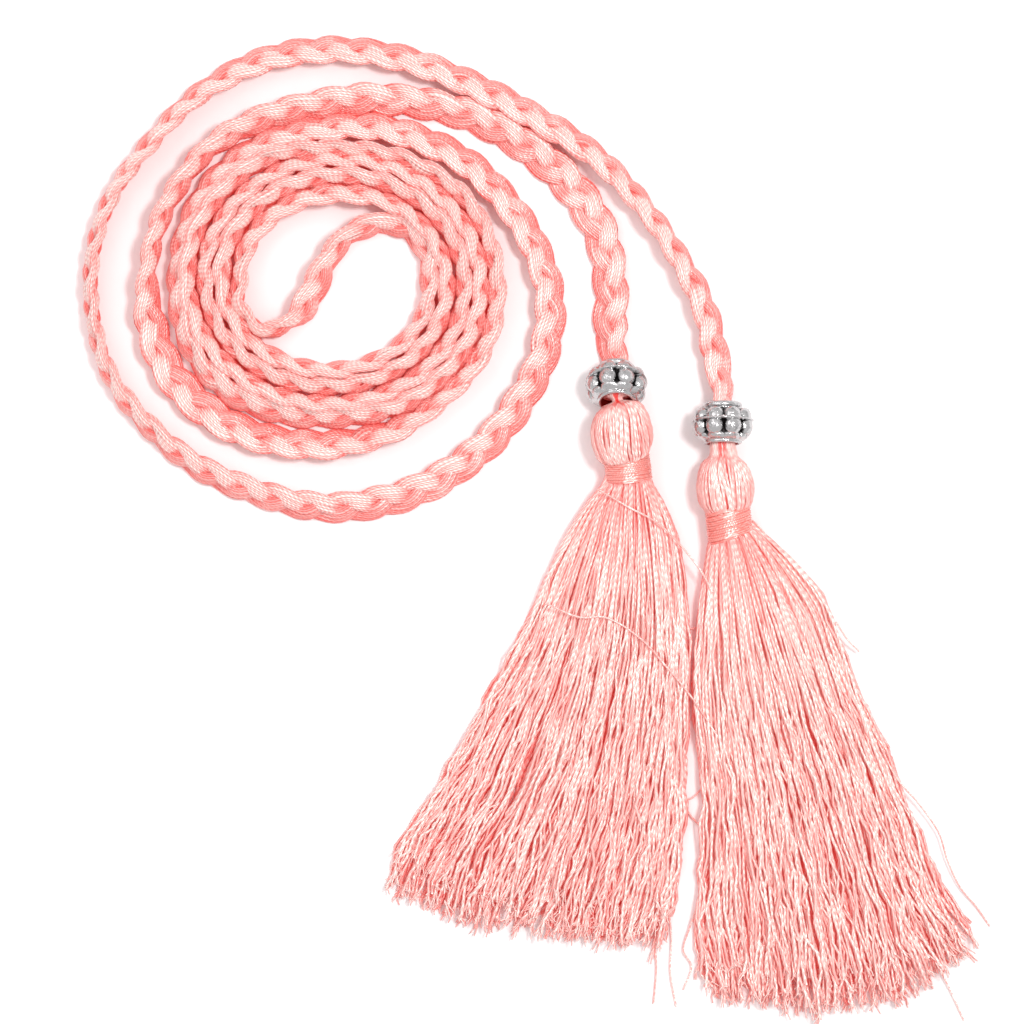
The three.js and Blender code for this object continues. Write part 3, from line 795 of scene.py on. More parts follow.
def skirt_tree():
    """Many threads that run from a binding to their ends between five guide lines."""
    tree, ask = new_tree("Skirt threads", {
        "Threads": 500, "Steps": 26, "Thread radius": 0.00027,
        "Root height": 0.0046, "Root half depth": 0.0033,
        "Middle depth": 0.0052, "End depth": 0.0034,
        "Waviness": 0.003, "Clumping": 0.030, "End spread": 0.085,
        "Tip splay": 0.0011, "Seed": 11,
    })
    guides = add(tree, "GeometryNodeMeshToCurve", {"Mesh": ask["Geometry"]})
    seed = ask["Seed"]
    share = named(tree, "share")

    def placed(thread, along_share):
        """Where a thread is at a share of its length, and how deep it lies."""
        jitter = drawn(tree, 0.0, 1.0, thread, seed)
        layer = drawn(tree, -1.0, 1.0, thread, seed + 1.0)
        layer = layer.math("SIGN") * layer.size().power(0.7)
        reach = drawn(tree, 0.0, 1.0, thread, seed + 2.0)
        reach = reach.less_from(1.0) * ask["End spread"]
        short = drawn(tree, 0.0, 1.0, thread, seed + 3.0).math("GREATER_THAN", NOT_SHORT)
        ends = reach + LEAST_REACH - short * drawn(tree, 0.05, 0.40, thread, seed + 4.0)
        down = along_share * ends
        across = (thread + jitter) / ask["Threads"]
        loosened = down.power(0.8)
        clump = noise_at(tree, across * 34.0, down * 2.2, layer * 0.9 + seed)
        clump = clump * ask["Clumping"] * (loosened + 0.25)
        own = noise_at(tree, thread * 5.31, down * 5.0, seed + 0.5) * (loosened * 0.024 + 0.004)
        own = own + drawn(tree, -1.0, 1.0, thread, seed + 6.0) * loosened * 0.034
        across = (across + clump + own).at_most(0.9995).at_least(0.0)
        lane = (across * GUIDE_GAPS).whole()

        def guide_place(index):
            return sampled(tree, guides, down, "Position", index=index)

        flat = mixed(guide_place(lane), guide_place(lane + 1.0), across * GUIDE_GAPS - lane)
        wave_place = vector(tree, thread * 3.17, down * 11.0, seed + 20.0)
        wave = add(tree, "ShaderNodeTexNoise",
                   {"Vector": wave_place, "Scale": 1.0, "Detail": 2.0, "Roughness": 0.6},
                   output="Color")
        wave = add(tree, "ShaderNodeVectorMath", {0: wave, 1: (0.5, 0.5, 0.5)},
                   operation="SUBTRACT")
        wander = scaled(wave, ask["Waviness"] * loosened)
        middle_way = across * 2.0 - 1.0
        gather = eased(tree, down, 0.0, 0.10)
        edge = (middle_way * middle_way * (gather * -0.45 + 0.985)).less_from(1.0).power(0.5)
        late = eased(tree, down, 0.08, 0.95)
        depth = late.less_from(1.0) * ask["Middle depth"] + late * ask["End depth"]
        at_root = ask["Root height"] + layer * edge * ask["Root half depth"]
        on_floor = (layer * 0.5 + 0.5) * edge * depth + ask["Thread radius"]
        height = gather.less_from(1.0) * at_root + gather * on_floor
        return both(both(flat, wander), vector(tree, 0.0, 0.0, height)), layer * 0.5 + 0.5

    def kept_above(line, place):
        parts = tree.nodes.new("ShaderNodeSeparateXYZ")
        tree.links.new(place.socket, parts.inputs[0])
        x, y, z = (Reading(tree, parts.outputs[index]) for index in range(3))
        return moved(line, vector(tree, x, y, z.at_least(ask["Thread radius"])))

    def finished(line, ridge_and_shade, number, radius, sides):
        line = store(line, "ridge_and_shade", ridge_and_shade)
        tube = tubed(tree, line, radius, sides)
        return store(tube, "yarn", number)

    thread = named(tree, "thread")
    rail = thread_rail(tree, ask["Threads"], ask["Steps"])
    place, layer = placed(thread, share)
    line = kept_above(rail, place)
    size = drawn(tree, 0.85, 1.15, thread, seed + 8.0)
    # Painted shade: threads lying lower in the skirt and near the binding get a smaller lit share
    near_root = eased(tree, share, 0.02, 0.35).less_from(1.0)
    ridge_and_shade = layer * 0.42 + 0.60 - near_root * 0.32
    threads = finished(line, ridge_and_shade, thread, size * ask["Thread radius"], 4)

    owner = (thread / FIBRES_A_THREAD + NUDGE).whole()
    tips = thread_rail(tree, ask["Threads"] * FIBRES_A_THREAD, 4)
    place, layer = placed(owner, share * SPLAY_SHARE + SPLAY_FROM)
    splay = add(tree, "FunctionNodeRandomValue",
                {"Min": (-1.0, -1.0, -0.6), "Max": (1.0, 1.0, 0.6), "ID": thread,
                 "Seed": seed + 9.0}, data_type="FLOAT_VECTOR")
    place = both(place, scaled(splay, share * ask["Tip splay"]))
    line = kept_above(tips, place)
    fibre_radius = ask["Thread radius"] * FIBRE_THINNESS
    # The splayed tips get a larger lit share than the threads, so they are painted lighter
    fibres = finished(line, layer * 0.30 + 0.72, thread, fibre_radius, 3)
    close_tree(tree, together(fibres, threads), ask["Material"])
    return tree


def stray_tree():
    """A thin thread along each line of the base."""
    tree, ask = new_tree("Loose threads", {"Thread radius": 0.00025})
    lines = add(tree, "GeometryNodeMeshToCurve", {"Mesh": ask["Geometry"]})
    tube = tubed(tree, lines, ask["Thread radius"], 5)
    tube = store(tube, "yarn", add(tree, "GeometryNodeInputIndex") / 90.0)
    tube = store(tube, "ridge_and_shade", 0.85)
    close_tree(tree, tube, ask["Material"])
    return tree


def head_tree():
    """Yarns laid lengthwise round a body whose middle line carries its half width."""
    tree, ask = new_tree("Head yarns", {
        "Yarns": 74, "Steps": 34, "Yarn radius": 0.00025,
        "Flattening": 0.88, "Slant": 0.30, "Seed": 5,
    })
    body = add(tree, "GeometryNodeMeshToCurve", {"Mesh": ask["Geometry"]})

    seed = ask["Seed"]
    rail = thread_rail(tree, ask["Yarns"] * 2.0, ask["Steps"])
    share, thread = named(tree, "share"), named(tree, "thread")
    under = (thread / ask["Yarns"]).whole()
    jitter = drawn(tree, -0.9, 0.9, thread, seed)
    own_slant = drawn(tree, -0.30, 0.42, thread, seed + 1.0)
    slant = noise_at(tree, thread * 0.11, share * 1.5, seed + 30.0) * ask["Slant"]
    angle = (thread + jitter) / ask["Yarns"] * TURN + under * 0.04
    angle = angle + slant + own_slant * (share - 0.5) * 0.9
    out = noise_at(tree, thread * 4.3, share * 4.0, seed + 40.0, 0.035) + 1.0 - under * 0.055
    place, radius, _ = on_body(body, share, angle, out, ask["Flattening"])
    _, radius_before, _ = on_body(body, share - 0.03, angle, out, ask["Flattening"])
    widening = (radius - radius_before).at_least(0.0) / 0.0010
    narrowness = eased(tree, radius, 0.0012, 0.0042).less_from(1.0)
    # Painted highlight on the top of the head; painted shade where the yarns widen, in a gap along the
    # top of the narrow neck and on the under layer, and painted light where they are narrow
    line = store(moved(rail, place), "crown", angle.sine().at_least(0.0).power(2.0))
    painted_neck_gap = eased(tree, (angle - 1.45).size(), 0.25, 0.50).less_from(1.0)
    painted_lit_share = narrowness * 0.30 + 0.88 - widening.at_most(1.0) * 0.40
    painted_lit_share = painted_lit_share - painted_neck_gap * narrowness * 2.0
    line = store(line, "ridge_and_shade", painted_lit_share - under * 0.35)
    yarns = tubed(tree, line, ask["Yarn radius"] * (narrowness * -0.45 + 1.0), 5)
    yarns = store(yarns, "yarn", thread)

    # The core under the yarns carries no lit share, so it takes the painted shade colour and the most
    # glow
    core = store(straight(tree, ask["Steps"]), "share", add(tree, "GeometryNodeSplineParameter"))
    core = swept(core, 32, CORE_RING)
    round_angle = named(tree, "around") * TURN
    place, _, _ = on_body(body, share, round_angle, 0.90, ask["Flattening"])
    close_tree(tree, together(moved(core, place), yarns), ask["Material"])
    return tree


def binding_tree():
    """A thread wound many times round a short oval."""
    tree, ask = new_tree("Wound binding", {
        "Wraps": 13, "Steps": 30, "Thread radius": 0.00024,
        "Flattening": 0.88, "Slant": 0.1, "Seed": 7,
    })
    body = add(tree, "GeometryNodeMeshToCurve", {"Mesh": ask["Geometry"]})
    rail = thread_rail(tree, 2, ask["Wraps"] * ask["Steps"])
    share, thread = named(tree, "share"), named(tree, "thread")
    seed = ask["Seed"]
    angle = share * ask["Wraps"] * TURN + thread * 2.1
    wobble = noise_at(tree, share * ask["Wraps"] * 1.3, thread * 9.0, seed)
    wobble = wobble / ask["Wraps"] * 0.9
    place_share = (share * 0.94 + 0.03 + wobble).at_most(1.0).at_least(0.0)
    out = noise_at(tree, share * ask["Wraps"] * 3.0, thread * 5.0, seed + 4.0, 0.03)
    out = out + 1.0 - thread * 0.05
    place, radius, tangent = on_body(body, place_share, angle, out, ask["Flattening"])
    slanted = scaled(tangent, radius * angle.cosine() * ask["Slant"])
    line = moved(rail, both(place, slanted))
    # Painted highlight: a glint stripe along the top of the wraps; the second, lower thread gets more
    # painted shade
    line = store(line, "crown", angle.sine().at_least(0.0).power(7.0))
    tube = tubed(tree, line, ask["Thread radius"], 6)
    tube = store(tube, "yarn", share * ask["Wraps"])
    tube = store(tube, "ridge_and_shade", thread * -0.3 + 0.95)
    close_tree(tree, tube, ask["Material"])
    return tree


def ball_tree():
    """A ball at each point of the base."""
    tree, ask = new_tree("Bead balls", {"Radius": 0.0016})
    ball = add(tree, "GeometryNodeMeshUVSphere",
               {"Segments": 20, "Rings": 12, "Radius": ask["Radius"]})
    balls = add(tree, "GeometryNodeInstanceOnPoints", {"Points": ask["Geometry"], "Instance": ball})
    close_tree(tree, balls, ask["Material"])
    return tree


# Materials

# How each kind of yarn looks. Its painted cream highlights come in patches that change by patch_step
# from yarn to yarn and by patch_pace along a yarn; zone is how much of it has them, crown_glint how
# much more its crown has, and dash_depth how far its twist breaks them into dashes. Depth takes it
# towards the painted shade colour, and crown_share paints its crown lighter. Its painted red glow
# stands in for light that has passed through the yarns around, their translucency: glow for every
# yarn and deep_glow for those painted deepest in shade
CORD_LOOK = {
    "laid_side_by_side": True, "patch_step": 0.06, "patch_pace": 170.0, "depth": 0.10,
    "crown_share": 0.12, "crown_glint": 1.05, "zone": 0.10, "dash_depth": 0.55,
    "glow": 0.04, "deep_glow": 0.13,
    "roughness": 0.34, "metallic": 0.10,
}
HEAD_LOOK = {
    "laid_side_by_side": False, "patch_step": 0.31, "patch_pace": 160.0, "depth": 0.10,
    "crown_share": 0.15, "crown_glint": 0.50, "zone": 0.04, "dash_depth": 0.80,
    "glow": 0.05, "deep_glow": 0.08,
    "roughness": 0.32, "metallic": 0.10,
}
BINDING_LOOK = {
    "laid_side_by_side": False, "patch_step": 0.31, "patch_pace": 60.0, "depth": 0.14,
    "crown_share": 0.10, "crown_glint": 1.6, "zone": -0.95, "dash_depth": 0.80,
    "glow": 0.03, "deep_glow": 0.08,
    "roughness": 0.26, "metallic": 0.20,
}
SKIRT_LOOK = {
    "laid_side_by_side": False, "patch_step": 0.31, "patch_pace": 95.0, "depth": 0.12,
    "crown_share": 0.0, "crown_glint": 0.0, "zone": 0.38, "dash_depth": 0.80,
    "glow": 0.09, "deep_glow": 0.24,
    "roughness": 0.34, "metallic": 0.10,
}
# The painted glow's colour, then those of the silver, its recesses, the painted red reflection in
# its bore, and the floor's grain
GLOW = (1.0, 0.06, 0.05, 1.0)
SILVER = (0.56, 0.555, 0.56, 1.0)
TARNISH = (0.030, 0.026, 0.027, 1.0)
BORE_PAINTED_REFLECTION = (0.30, 0.020, 0.018, 1.0)
FLOOR_GRAIN = (1.0, 0.97, 0.975, 1.0)
# Spread the yarns' numbers over their twists' starts and their own shades
START_SPREAD = 12.9898
SHADE_SPREAD = 78.233


def new_material(name):
    material = bpy.data.materials.new(name)
    material.use_nodes = True
    return material, material.node_tree, material.node_tree.nodes["Principled BSDF"]


def shade(tree, shader, label, value):
    tree.links.new(value.socket, shader.inputs[label])


def attribute(tree, name):
    return add(tree, "ShaderNodeAttribute", output="Fac", attribute_name=name)


def colour_mix(tree, first, second, share):
    return add(tree, "ShaderNodeMix", {"Factor": share, "A": first, "B": second},
               data_type="RGBA", clamp_factor=True)


def yarn_material(name, light, colours, yarn_length, look):
    """Glossy twisted yarn: painted light on ridges, painted shade between, painted cream twist glints.
    """
    material, tree, shader = new_material(name)
    along, around = attribute(tree, "along"), attribute(tree, "around")
    ridge_and_shade, yarn, crown = (attribute(tree, label) for label in ("ridge_and_shade", "yarn", "crown"))
    if look["laid_side_by_side"]:
        yarn = yarn + (around - 1.0 / 3.0).whole()
    turns = along / yarn_length + around + (yarn * START_SPREAD).sine() * 3.0
    twist = (turns * TURN).sine() * 0.5 + 0.5
    dash = eased(tree, twist, 0.25, 0.75)
    own = (yarn * SHADE_SPREAD).sine() * 0.5 + 0.5
    patch = noise_at(tree, yarn * look["patch_step"], along * look["patch_pace"], 0.0)
    streak = noise_at(tree, yarn * 2.7, along * 300.0, 4.0)
    # Painted light and shade: from the painted shade colour to the lit colour by the lit share, with
    # random streaks, tones of the yarn itself and its twist
    share = ridge_and_shade * 0.95 + streak * 0.22 + own * 0.16 + twist * 0.10 - look["depth"]
    share = share + crown * look["crown_share"]
    colour = colour_mix(tree, (*colours.yarn_painted_shade, 1.0), (*light, 1.0), share)
    # Painted highlights: cream glints in patches, more on the crown, broken into dashes by the twist
    zone = crown * look["crown_glint"] + patch * 0.95 + own * 0.22 + look["zone"]
    zone = eased(tree, zone, 0.18, 0.72)
    dash = dash * look["dash_depth"] + (1.0 - look["dash_depth"])
    glint = (zone * 0.85 + 0.15) * dash * (ridge_and_shade * 0.75 + 0.25)
    colour = colour_mix(tree, colour, (*colours.yarn_painted_glint, 1.0), glint)
    shade(tree, shader, "Base Color", colour)
    fibre = noise_at(tree, along * 9000.0, around * 9.0 + yarn, 0.0)
    height = twist * 0.9 + fibre * 0.2
    bump = add(tree, "ShaderNodeBump", {"Strength": 0.6, "Distance": 0.0001, "Height": height})
    shade(tree, shader, "Normal", bump)
    shade(tree, shader, "Roughness", fibre * 0.08 + look["roughness"])
    shader.inputs["Specular IOR Level"].default_value = 1.0
    shader.inputs["Metallic"].default_value = look["metallic"]
    # Painted red glow, strongest where the yarn is painted deepest in shade
    shader.inputs["Emission Color"].default_value = GLOW
    depth = ridge_and_shade.less_from(1.0).at_least(0.0)
    shade(tree, shader, "Emission Strength", depth * look["deep_glow"] + look["glow"])
    return material


def silver_material():
    """Cast silver, bright where it is rubbed and nearly black in its recesses."""
    material, tree, shader = new_material("Antique silver")
    place = add(tree, "ShaderNodeTexCoord", output="Object")
    recess = attribute(tree, "recess")
    blotch = smooth_noise(tree, scaled(place, 1300.0), 0.60)
    fine = smooth_noise(tree, scaled(place, 3800.0), 0.60)
    dark = recess + blotch + fine * 0.4
    share = eased(tree, dark, 0.06, 0.60)
    colour = colour_mix(tree, SILVER, TARNISH, share)
    # Painted reflection: the bore is painted the red of the yarns it would mirror
    colour = colour_mix(tree, colour, BORE_PAINTED_REFLECTION, attribute(tree, "bore"))
    shade(tree, shader, "Base Color", colour)
    shade(tree, shader, "Roughness", share * 0.30 + 0.20 + fine * 0.10)
    shader.inputs["Metallic"].default_value = 1.0
    pits = smooth_noise(tree, scaled(place, 1800.0))
    bump = add(tree, "ShaderNodeBump", {"Strength": 0.5, "Distance": 0.00015, "Height": pits})
    shade(tree, shader, "Normal", bump)
    return material


def floor_material(colour):
    material, tree, shader = new_material("Pale floor")
    place = add(tree, "ShaderNodeTexCoord", output="Object")
    grain = smooth_noise(tree, scaled(place, 60.0), 0.01)
    shade(tree, shader, "Base Color",
          colour_mix(tree, (*colour, 1.0), FLOOR_GRAIN, grain + 0.1))
    shader.inputs["Roughness"].default_value = 0.75
    return material


def settle(piece, slot, *nodes):
    """Makes a piece ride on the frame and hides the solids it stands for; its slot is not used."""
    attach(piece, "root")
    if nodes:
        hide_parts(*nodes)


# Beads

# Along the bead from the cord's end, radius, and how much of the petal depth it takes
BEAD_PROFILE = (
    (0.00012, 0.00308, 0.0), (0.00000, 0.00334, 0.0), (0.00016, 0.00372, 0.0),
    (0.00055, 0.00396, 0.0), (0.00100, 0.00386, 0.0), (0.00122, 0.00352, 0.0),
    (0.00140, 0.00360, 0.0), (0.00200, 0.00430, 0.3), (0.00270, 0.00500, 0.5),
    (0.00325, 0.00560, 0.3), (0.00348, 0.00606, 0.0), (0.00362, 0.00620, 0.0),
    (0.00378, 0.00606, 0.0), (0.00388, 0.00500, 0.0), (0.00440, 0.00450, 0.0),
    (0.00520, 0.00440, 0.0), (0.00590, 0.00445, 0.0), (0.00620, 0.00462, 0.0),
    (0.00640, 0.00505, 0.8), (0.00672, 0.00528, 1.0), (0.00712, 0.00505, 0.6),
    (0.00748, 0.00448, 0.3), (0.00768, 0.00402, 0.1), (0.00778, 0.00376, 0.0),
    (0.00790, 0.00384, 0.0), (0.00815, 0.00382, 0.0), (0.00834, 0.00362, 0.0),
    (0.00840, 0.00336, 0.0), (0.00830, 0.00308, 0.0), (0.00740, 0.00304, 0.0),
    (0.00420, 0.00302, 0.0), (0.00100, 0.00304, 0.0),
)
# The bead's outline over its balls and petals, from which a recess is measured
BEAD_HULL = (
    (0.0000, 0.0036), (0.0011, 0.0040), (0.0018, 0.0051), (0.0036, 0.0062), (0.0052, 0.0062),
    (0.0064, 0.0058), (0.0071, 0.0051), (0.0077, 0.0041), (0.0084, 0.0036),
)
# Middles of the two rings of balls, one each side of the rib: along from the cord's end, and out
BALL_ALONG = 0.00500
BALL_OUT = 0.00496
PETAL_ALONG = 0.00318
PETAL_OUT = 0.00462
# Beyond this distance from the bead's axis a ball stands out by only this share
ROUND_UP_TO = 0.0046
FLATTER_BEYOND = 0.70
# The bore carries a painted red reflection of the yarns that pass through it; it ends at this
# distance from the axis
BORE_UP_TO = 0.0032
BEAD_SEGMENTS = 120
# How round a valley between petals is, and its depth beside the petal depth
VALLEY_ROUNDNESS = 0.6
VALLEY_GAIN = 1.6
# How far under the outline the tarnish starts, and in what further depth it is full
TARNISH_FROM = 0.0006
TARNISH_OVER = 0.0008


def bead_shell(sizes):
    """The bead's body round its own Y axis, the cord's end at +Y."""
    points, faces = [], []
    for along, radius, share in BEAD_PROFILE:
        for step in range(BEAD_SEGMENTS):
            angle = TURN * step / BEAD_SEGMENTS
            valley = abs(math.sin(sizes.balls * angle / 2)) ** VALLEY_ROUNDNESS
            out = radius - sizes.petal_depth * share * (1 - valley) * VALLEY_GAIN
            points.append((out * math.sin(angle), BEAD_HALF_LENGTH - along,
                           out * math.cos(angle)))
    rows = len(BEAD_PROFILE)
    for row in range(rows):
        for step in range(BEAD_SEGMENTS):
            after = (step + 1) % BEAD_SEGMENTS
            low, high = row * BEAD_SEGMENTS, (row + 1) % rows * BEAD_SEGMENTS
            faces.append((low + step, high + step, high + after, low + after))
    mesh = bpy.data.meshes.new("bead_shell")
    mesh.from_pydata(points, [], faces)
    return mesh


def make_bead(side, sizes, material, tree):
    angles = [TURN * (ball + 0.5) / sizes.balls for ball in range(sizes.balls)]
    places = [(out * math.sin(angle), BEAD_HALF_LENGTH - along, out * math.cos(angle))
              for along, out in ((BALL_ALONG, BALL_OUT), (PETAL_ALONG, PETAL_OUT))
              for angle in angles]
    base = bpy.data.meshes.new("ball_places")
    base.from_pydata(places, [], [])
    balls = run_tree("balls", base, tree, {"Radius": sizes.ball_radius, "Material": material})
    for vertex in balls.data.vertices:
        out = math.hypot(vertex.co.x, vertex.co.z)
        if out > ROUND_UP_TO:
            nearer = (ROUND_UP_TO + (out - ROUND_UP_TO) * FLATTER_BEYOND) / out
            vertex.co.x *= nearer
            vertex.co.z *= nearer
    joined = bmesh.new()
    joined.from_mesh(bead_shell(sizes))
    joined.from_mesh(balls.data)
    bmesh.ops.recalc_face_normals(joined, faces=joined.faces)
    mesh = bpy.data.meshes.new(f"silver_bead_{side}")
    joined.to_mesh(mesh)
    joined.free()
    bpy.data.objects.remove(balls)
    mesh.materials.append(material)
    recess = mesh.attributes.new("recess", "FLOAT", "POINT")
    bore = mesh.attributes.new("bore", "FLOAT", "POINT")
    for place, vertex in enumerate(mesh.vertices):
        along = BEAD_HALF_LENGTH - vertex.co.y
        out = math.hypot(vertex.co.x, vertex.co.z)
        depth = (reading_of(BEAD_HULL, along) - out - TARNISH_FROM) / TARNISH_OVER
        recess.data[place].value = max(0.0, min(1.0, depth))
        bore.data[place].value = 1.0 if out < BORE_UP_TO else 0.0
    turn = Matrix.Rotation(-math.radians(BEADS[side]["tilt"]), 4, "X")
    mesh.transform(turn)
    low = min(vertex.co.z for vertex in mesh.vertices)
    spot = from_coil(BEADS[side]["place"])
    mesh.transform(Matrix.Translation((spot.x, spot.y, -low)))
    mesh.shade_smooth()
    return linked(mesh.name, mesh)


# Tassels

# Steps between two points of a guide or middle line, and of a stray thread
GUIDE_STEPS = 6
STRAY_STEPS = 8
# How much longer a guide is made, and how thin a stray is beside a thread's width
GUIDE_EXTRA = 0.08
STRAY_THINNESS = 0.33
# The right skirt's seed follows the left one's
RIGHT_SEED_STEP = 50
HEAD_SEEDS = {"left": 5, "right": 8}
BINDING_SEEDS = {"left": 7, "right": 9}


def carried_line(name, rows):
    """A smooth middle line with its half width as an attribute, from rows of x, y, z, half width."""
    middle = smooth_line([from_coil(row[:3]) for row in rows], GUIDE_STEPS)
    last = len(rows) - 1
    widths = []
    for place in range(len(middle)):
        at = min(place / GUIDE_STEPS, last)
        low = min(int(at), last - 1)
        share = (smoothed(at - low) + at - low) / 2
        widths.append(rows[low][3] + (rows[low + 1][3] - rows[low][3]) * share)
    return chains(name, [middle], {"half_width": widths})


def lengthened(guide):
    """A skirt's guide line, made longer at its end for the threads that reach further."""
    line = smooth_line([from_coil(point) for point in guide], GUIDE_STEPS)
    way = (line[-1] - line[-1 - GUIDE_STEPS]).normalized()
    total = sum((b - a).length for a, b in zip(line, line[1:]))
    return line + [line[-1] + way * total * GUIDE_EXTRA * share for share in (0.5, 1.0)]


def make_skirt(side, sizes, material, tree):
    base = chains(f"guides_{side}", [lengthened(guide) for guide in SKIRT_GUIDES[side]])
    return run_tree(f"skirt_threads_{side}", base, tree, {
        "Threads": sizes.skirt_threads, "Thread radius": sizes.thread_width / 2,
        "Waviness": sizes.waviness,
        "Seed": sizes.seed + (RIGHT_SEED_STEP if side == "right" else 0),
        "Material": material,
    })


def make_strays(side, sizes, material, tree):
    lines = []
    for start, end, points in LOOSE_ENDS[side]:
        last = len(points) - 1
        raised = [from_coil(point, start + (end - start) * place / last)
                  for place, point in enumerate(points)]
        lines.append(smooth_line(raised, STRAY_STEPS))
    return run_tree(f"stray_threads_{side}", chains(f"strays_{side}", lines), tree,
                    {"Thread radius": sizes.thread_width * STRAY_THINNESS, "Material": material})


def make_head(side, sizes, material, tree):
    return run_tree(f"head_yarns_{side}", carried_line(f"head_{side}", HEAD_LINES[side]), tree, {
        "Yarns": sizes.head_yarns, "Flattening": HEAD_FLATTENING,
        "Seed": HEAD_SEEDS[side], "Material": material,
    })


def make_binding(side, sizes, material, tree):
    (first, last), widths, slant = BINDING_LINES[side]
    rows = [(*first, widths[0]), (*last, widths[1])]
    return run_tree(f"binding_wraps_{side}", carried_line(f"binding_{side}", rows), tree, {
        "Wraps": sizes.wraps, "Flattening": HEAD_FLATTENING, "Slant": slant,
        "Seed": BINDING_SEEDS[side], "Material": material,
    })


# Operators and panel

# The picture's middle from the coil's, the camera's height, and its sensor's width in millimetres
PICTURE_MIDDLE = (0.0355, -0.0462)
CAMERA_HEIGHT = 0.80
SENSOR_WIDTH = 36.0
# The picture is this wide at this height over the floor
SEEN_ACROSS = 0.2048
SCALE_HEIGHT = 0.004
FLOOR_HALF = 1.6
# Name, place from the picture's middle, size, power and colour
LAMPS = (
    ("key", (0.24, 0.11, 0.74), 0.13, 3.3, (1.0, 0.99, 0.98)),
    ("fill", (-0.50, 0.35, 0.80), 0.70, 2.0, (1.0, 0.98, 0.98)),
)
WORLD_COLOUR = (1.0, 0.985, 0.985, 1.0)
WORLD_STRENGTH = 0.80
# Length of one turn of a yarn's twist
CORD_TWIST = 0.0009
HEAD_TWIST = 0.0017
BINDING_TWIST = 0.0016
SKIRT_TWIST = 0.0015


class CINCTURE_OT_stage(bpy.types.Operator):
    """Makes the camera, the lights and the pale floor."""
    bl_idname = "cincture.stage"
    bl_label = "Camera, lights and floor"

    def execute(self, context):
        scene = context.scene
        middle = from_coil(PICTURE_MIDDLE)
        camera_data = bpy.data.cameras.new("Camera")
        camera = linked("Camera", camera_data)
        camera.location = (middle.x, middle.y, CAMERA_HEIGHT)
        camera_data.sensor_width = SENSOR_WIDTH
        camera_data.sensor_fit = "HORIZONTAL"
        camera_data.lens = SENSOR_WIDTH * (CAMERA_HEIGHT - SCALE_HEIGHT) / SEEN_ACROSS
        camera_data.clip_start = 0.05
        scene.camera = camera

        mesh = bpy.data.meshes.new("floor")
        corners = [(x * FLOOR_HALF, y * FLOOR_HALF, 0)
                   for x, y in ((-1, -1), (1, -1), (1, 1), (-1, 1))]
        mesh.from_pydata(corners, [], [(0, 1, 2, 3)])
        mesh.materials.append(floor_material(scene.cincture_colours.floor))
        linked("floor", mesh)

        for name, place, size, power, colour in LAMPS:
            data = bpy.data.lights.new(name, "AREA")
            data.size = size
            data.energy = power
            data.color = colour
            light = linked(name, data)
            light.location = middle + Vector(place)
            light.rotation_euler = (middle - light.location).to_track_quat("-Z", "Y").to_euler()

        world = bpy.data.worlds.new("Studio")
        world.use_nodes = True
        back = world.node_tree.nodes["Background"]
        back.inputs["Color"].default_value = WORLD_COLOUR
        back.inputs["Strength"].default_value = WORLD_STRENGTH
        scene.world = world
        scene.view_settings.view_transform = "Standard"
        return {"FINISHED"}


class CINCTURE_OT_cord(bpy.types.Operator):
    """Makes the plaited cord in three lengths: the two runs and the coil with its middle."""
    bl_idname = "cincture.cord"
    bl_label = "Plaited cord"

    def execute(self, context):
        sizes, colours = context.scene.cincture_cord, context.scene.cincture_colours
        way = CordWay(sizes)
        tree = plait_tree()
        yarn = yarn_material("Cord yarn", colours.yarn_light, colours, CORD_TWIST, CORD_LOOK)
        base_facts = {"across": way.across, "squeeze": way.squeeze}
        stretches = (
            ("plait_left", 0.0, RUN_LEFT_ENDS, ("cord_run_left",), "loose"),
            ("plait_coil", RUN_LEFT_ENDS, RUN_RIGHT_STARTS, ("cord_coil", "cord_middle"), "coiled"),
            ("plait_right", RUN_RIGHT_STARTS, way.length, ("cord_run_right",), "loose"),
        )
        for name, start, end, nodes, lay in stretches:
            piece = run_tree(name, chains(name, [way.points], base_facts), tree, {
                "Start": start, "End": end, "Ring step": sizes.ring_step, "Yarns": sizes.yarns,
                "Plait length": sizes.plait_length,
                "Swing": (sizes.plait_width - sizes.strand_width) / 2,
                "Rise": (sizes.plait_thickness - sizes.strand_thickness) / 2,
                "Strand half width": sizes.strand_width / 2,
                "Strand half thickness": sizes.strand_thickness / 2,
                "Material": yarn,
            })
            settle(piece, "cord_yarn", *nodes)
        return {"FINISHED"}


class CINCTURE_OT_beads(bpy.types.Operator):
    """Makes the two silver beads."""
    bl_idname = "cincture.beads"
    bl_label = "Silver beads"

    def execute(self, context):
        material, tree = silver_material(), ball_tree()
        for side in BEADS:
            piece = make_bead(side, context.scene.cincture_beads, material, tree)
            settle(piece, "antique_silver", f"bead_{side}")
        return {"FINISHED"}


class CINCTURE_OT_heads(bpy.types.Operator):
    """Makes the two tassel heads, whose yarns come out of the beads."""
    bl_idname = "cincture.heads"
    bl_label = "Tassel heads"

    def execute(self, context):
        colours, tree = context.scene.cincture_colours, head_tree()
        material = yarn_material("Head yarn", colours.yarn_light, colours, HEAD_TWIST, HEAD_LOOK)
        for side in BEADS:
            piece = make_head(side, context.scene.cincture_tassels, material, tree)
            settle(piece, "tassel_yarn", f"head_{side}", f"neck_{side}")
        return {"FINISHED"}


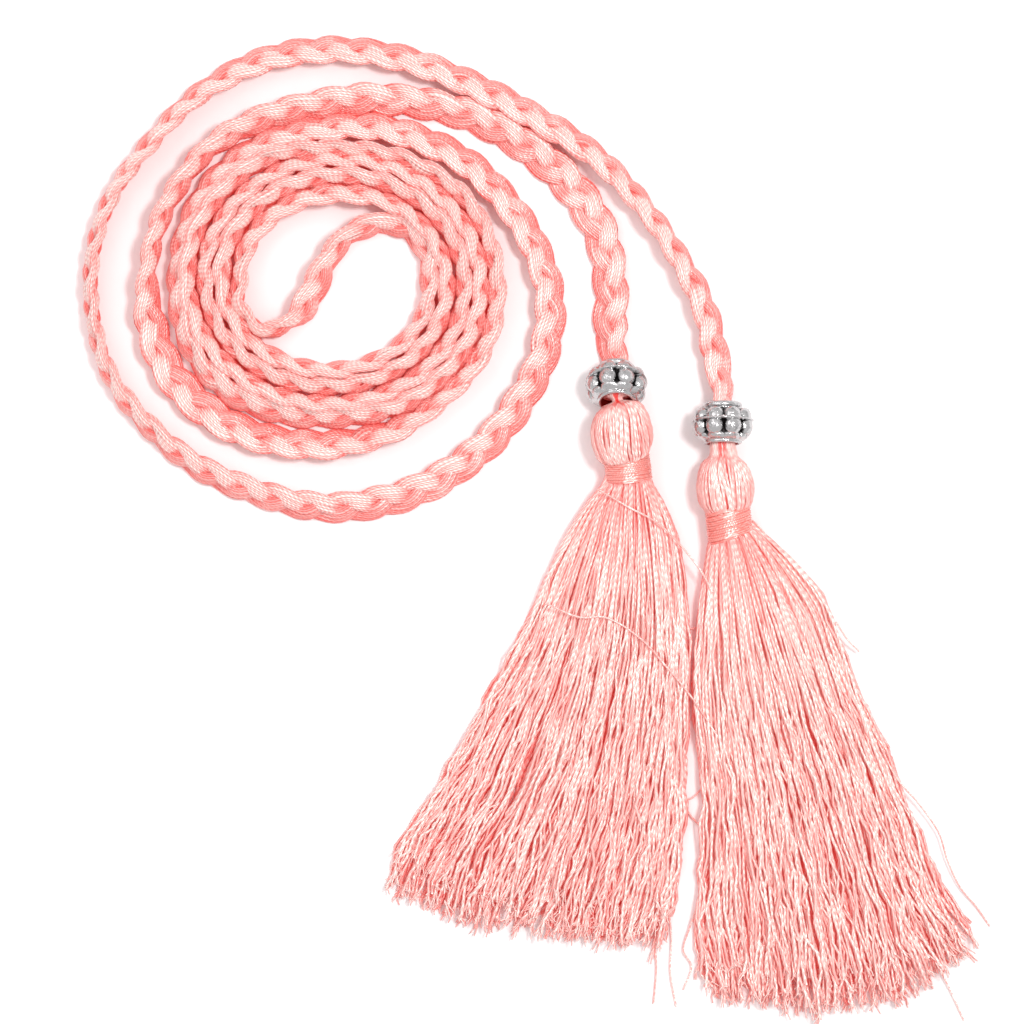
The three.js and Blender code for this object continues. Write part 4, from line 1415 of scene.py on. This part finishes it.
class CINCTURE_OT_bindings(bpy.types.Operator):
    """Makes the thread that is wound round each tassel below its head."""
    bl_idname = "cincture.bindings"
    bl_label = "Wound bindings"

    def execute(self, context):
        colours, tree = context.scene.cincture_colours, binding_tree()
        material = yarn_material(
            "Binding thread", colours.binding, colours, BINDING_TWIST, BINDING_LOOK)
        for side in BEADS:
            piece = make_binding(side, context.scene.cincture_tassels, material, tree)
            settle(piece, "binding_thread", f"binding_{side}")
        return {"FINISHED"}


class CINCTURE_OT_skirts(bpy.types.Operator):
    """Makes each tassel's skirt of threads, and the few threads that lie away from it."""
    bl_idname = "cincture.skirts"
    bl_label = "Tassel skirts"

    def execute(self, context):
        sizes, colours = context.scene.cincture_tassels, context.scene.cincture_colours
        material = yarn_material(
            "Skirt thread", colours.yarn_light, colours, SKIRT_TWIST, SKIRT_LOOK)
        threads, strays = skirt_tree(), stray_tree()
        for side in BEADS:
            settle(make_skirt(side, sizes, material, threads), "tassel_yarn", f"skirt_{side}")
            settle(make_strays(side, sizes, material, strays), "tassel_yarn")
        return {"FINISHED"}


class CINCTURE_PT_sidebar(bpy.types.Panel):
    """Lists the pieces of the cincture cord."""
    bl_label = "Cincture cord"
    bl_idname = "CINCTURE_PT_sidebar"
    bl_space_type = "VIEW_3D"
    bl_region_type = "UI"
    bl_category = "Cincture"

    def draw(self, context):
        for operator in OPERATORS:
            self.layout.operator(operator.bl_idname)


OPERATORS = (CINCTURE_OT_stage, CINCTURE_OT_cord, CINCTURE_OT_beads, CINCTURE_OT_heads,
             CINCTURE_OT_bindings, CINCTURE_OT_skirts)
SETTINGS = (("cincture_cord", CordSizes), ("cincture_tassels", TasselSizes),
            ("cincture_beads", BeadSizes), ("cincture_colours", Colours))


def register():
    for _, group in SETTINGS:
        bpy.utils.register_class(group)
    for name, group in SETTINGS:
        setattr(bpy.types.Scene, name, bpy.props.PointerProperty(type=group))
    for kind in OPERATORS + (CINCTURE_PT_sidebar,):
        bpy.utils.register_class(kind)


def unregister():
    for kind in reversed(OPERATORS + (CINCTURE_PT_sidebar,)):
        bpy.utils.unregister_class(kind)
    for name, group in reversed(SETTINGS):
        delattr(bpy.types.Scene, name)
        bpy.utils.unregister_class(group)


def main():
    register()
    bpy.ops.cincture.stage()
    bpy.ops.cincture.cord()
    bpy.ops.cincture.beads()
    bpy.ops.cincture.heads()
    bpy.ops.cincture.bindings()
    bpy.ops.cincture.skirts()


if __name__ == "__main__":
    main()
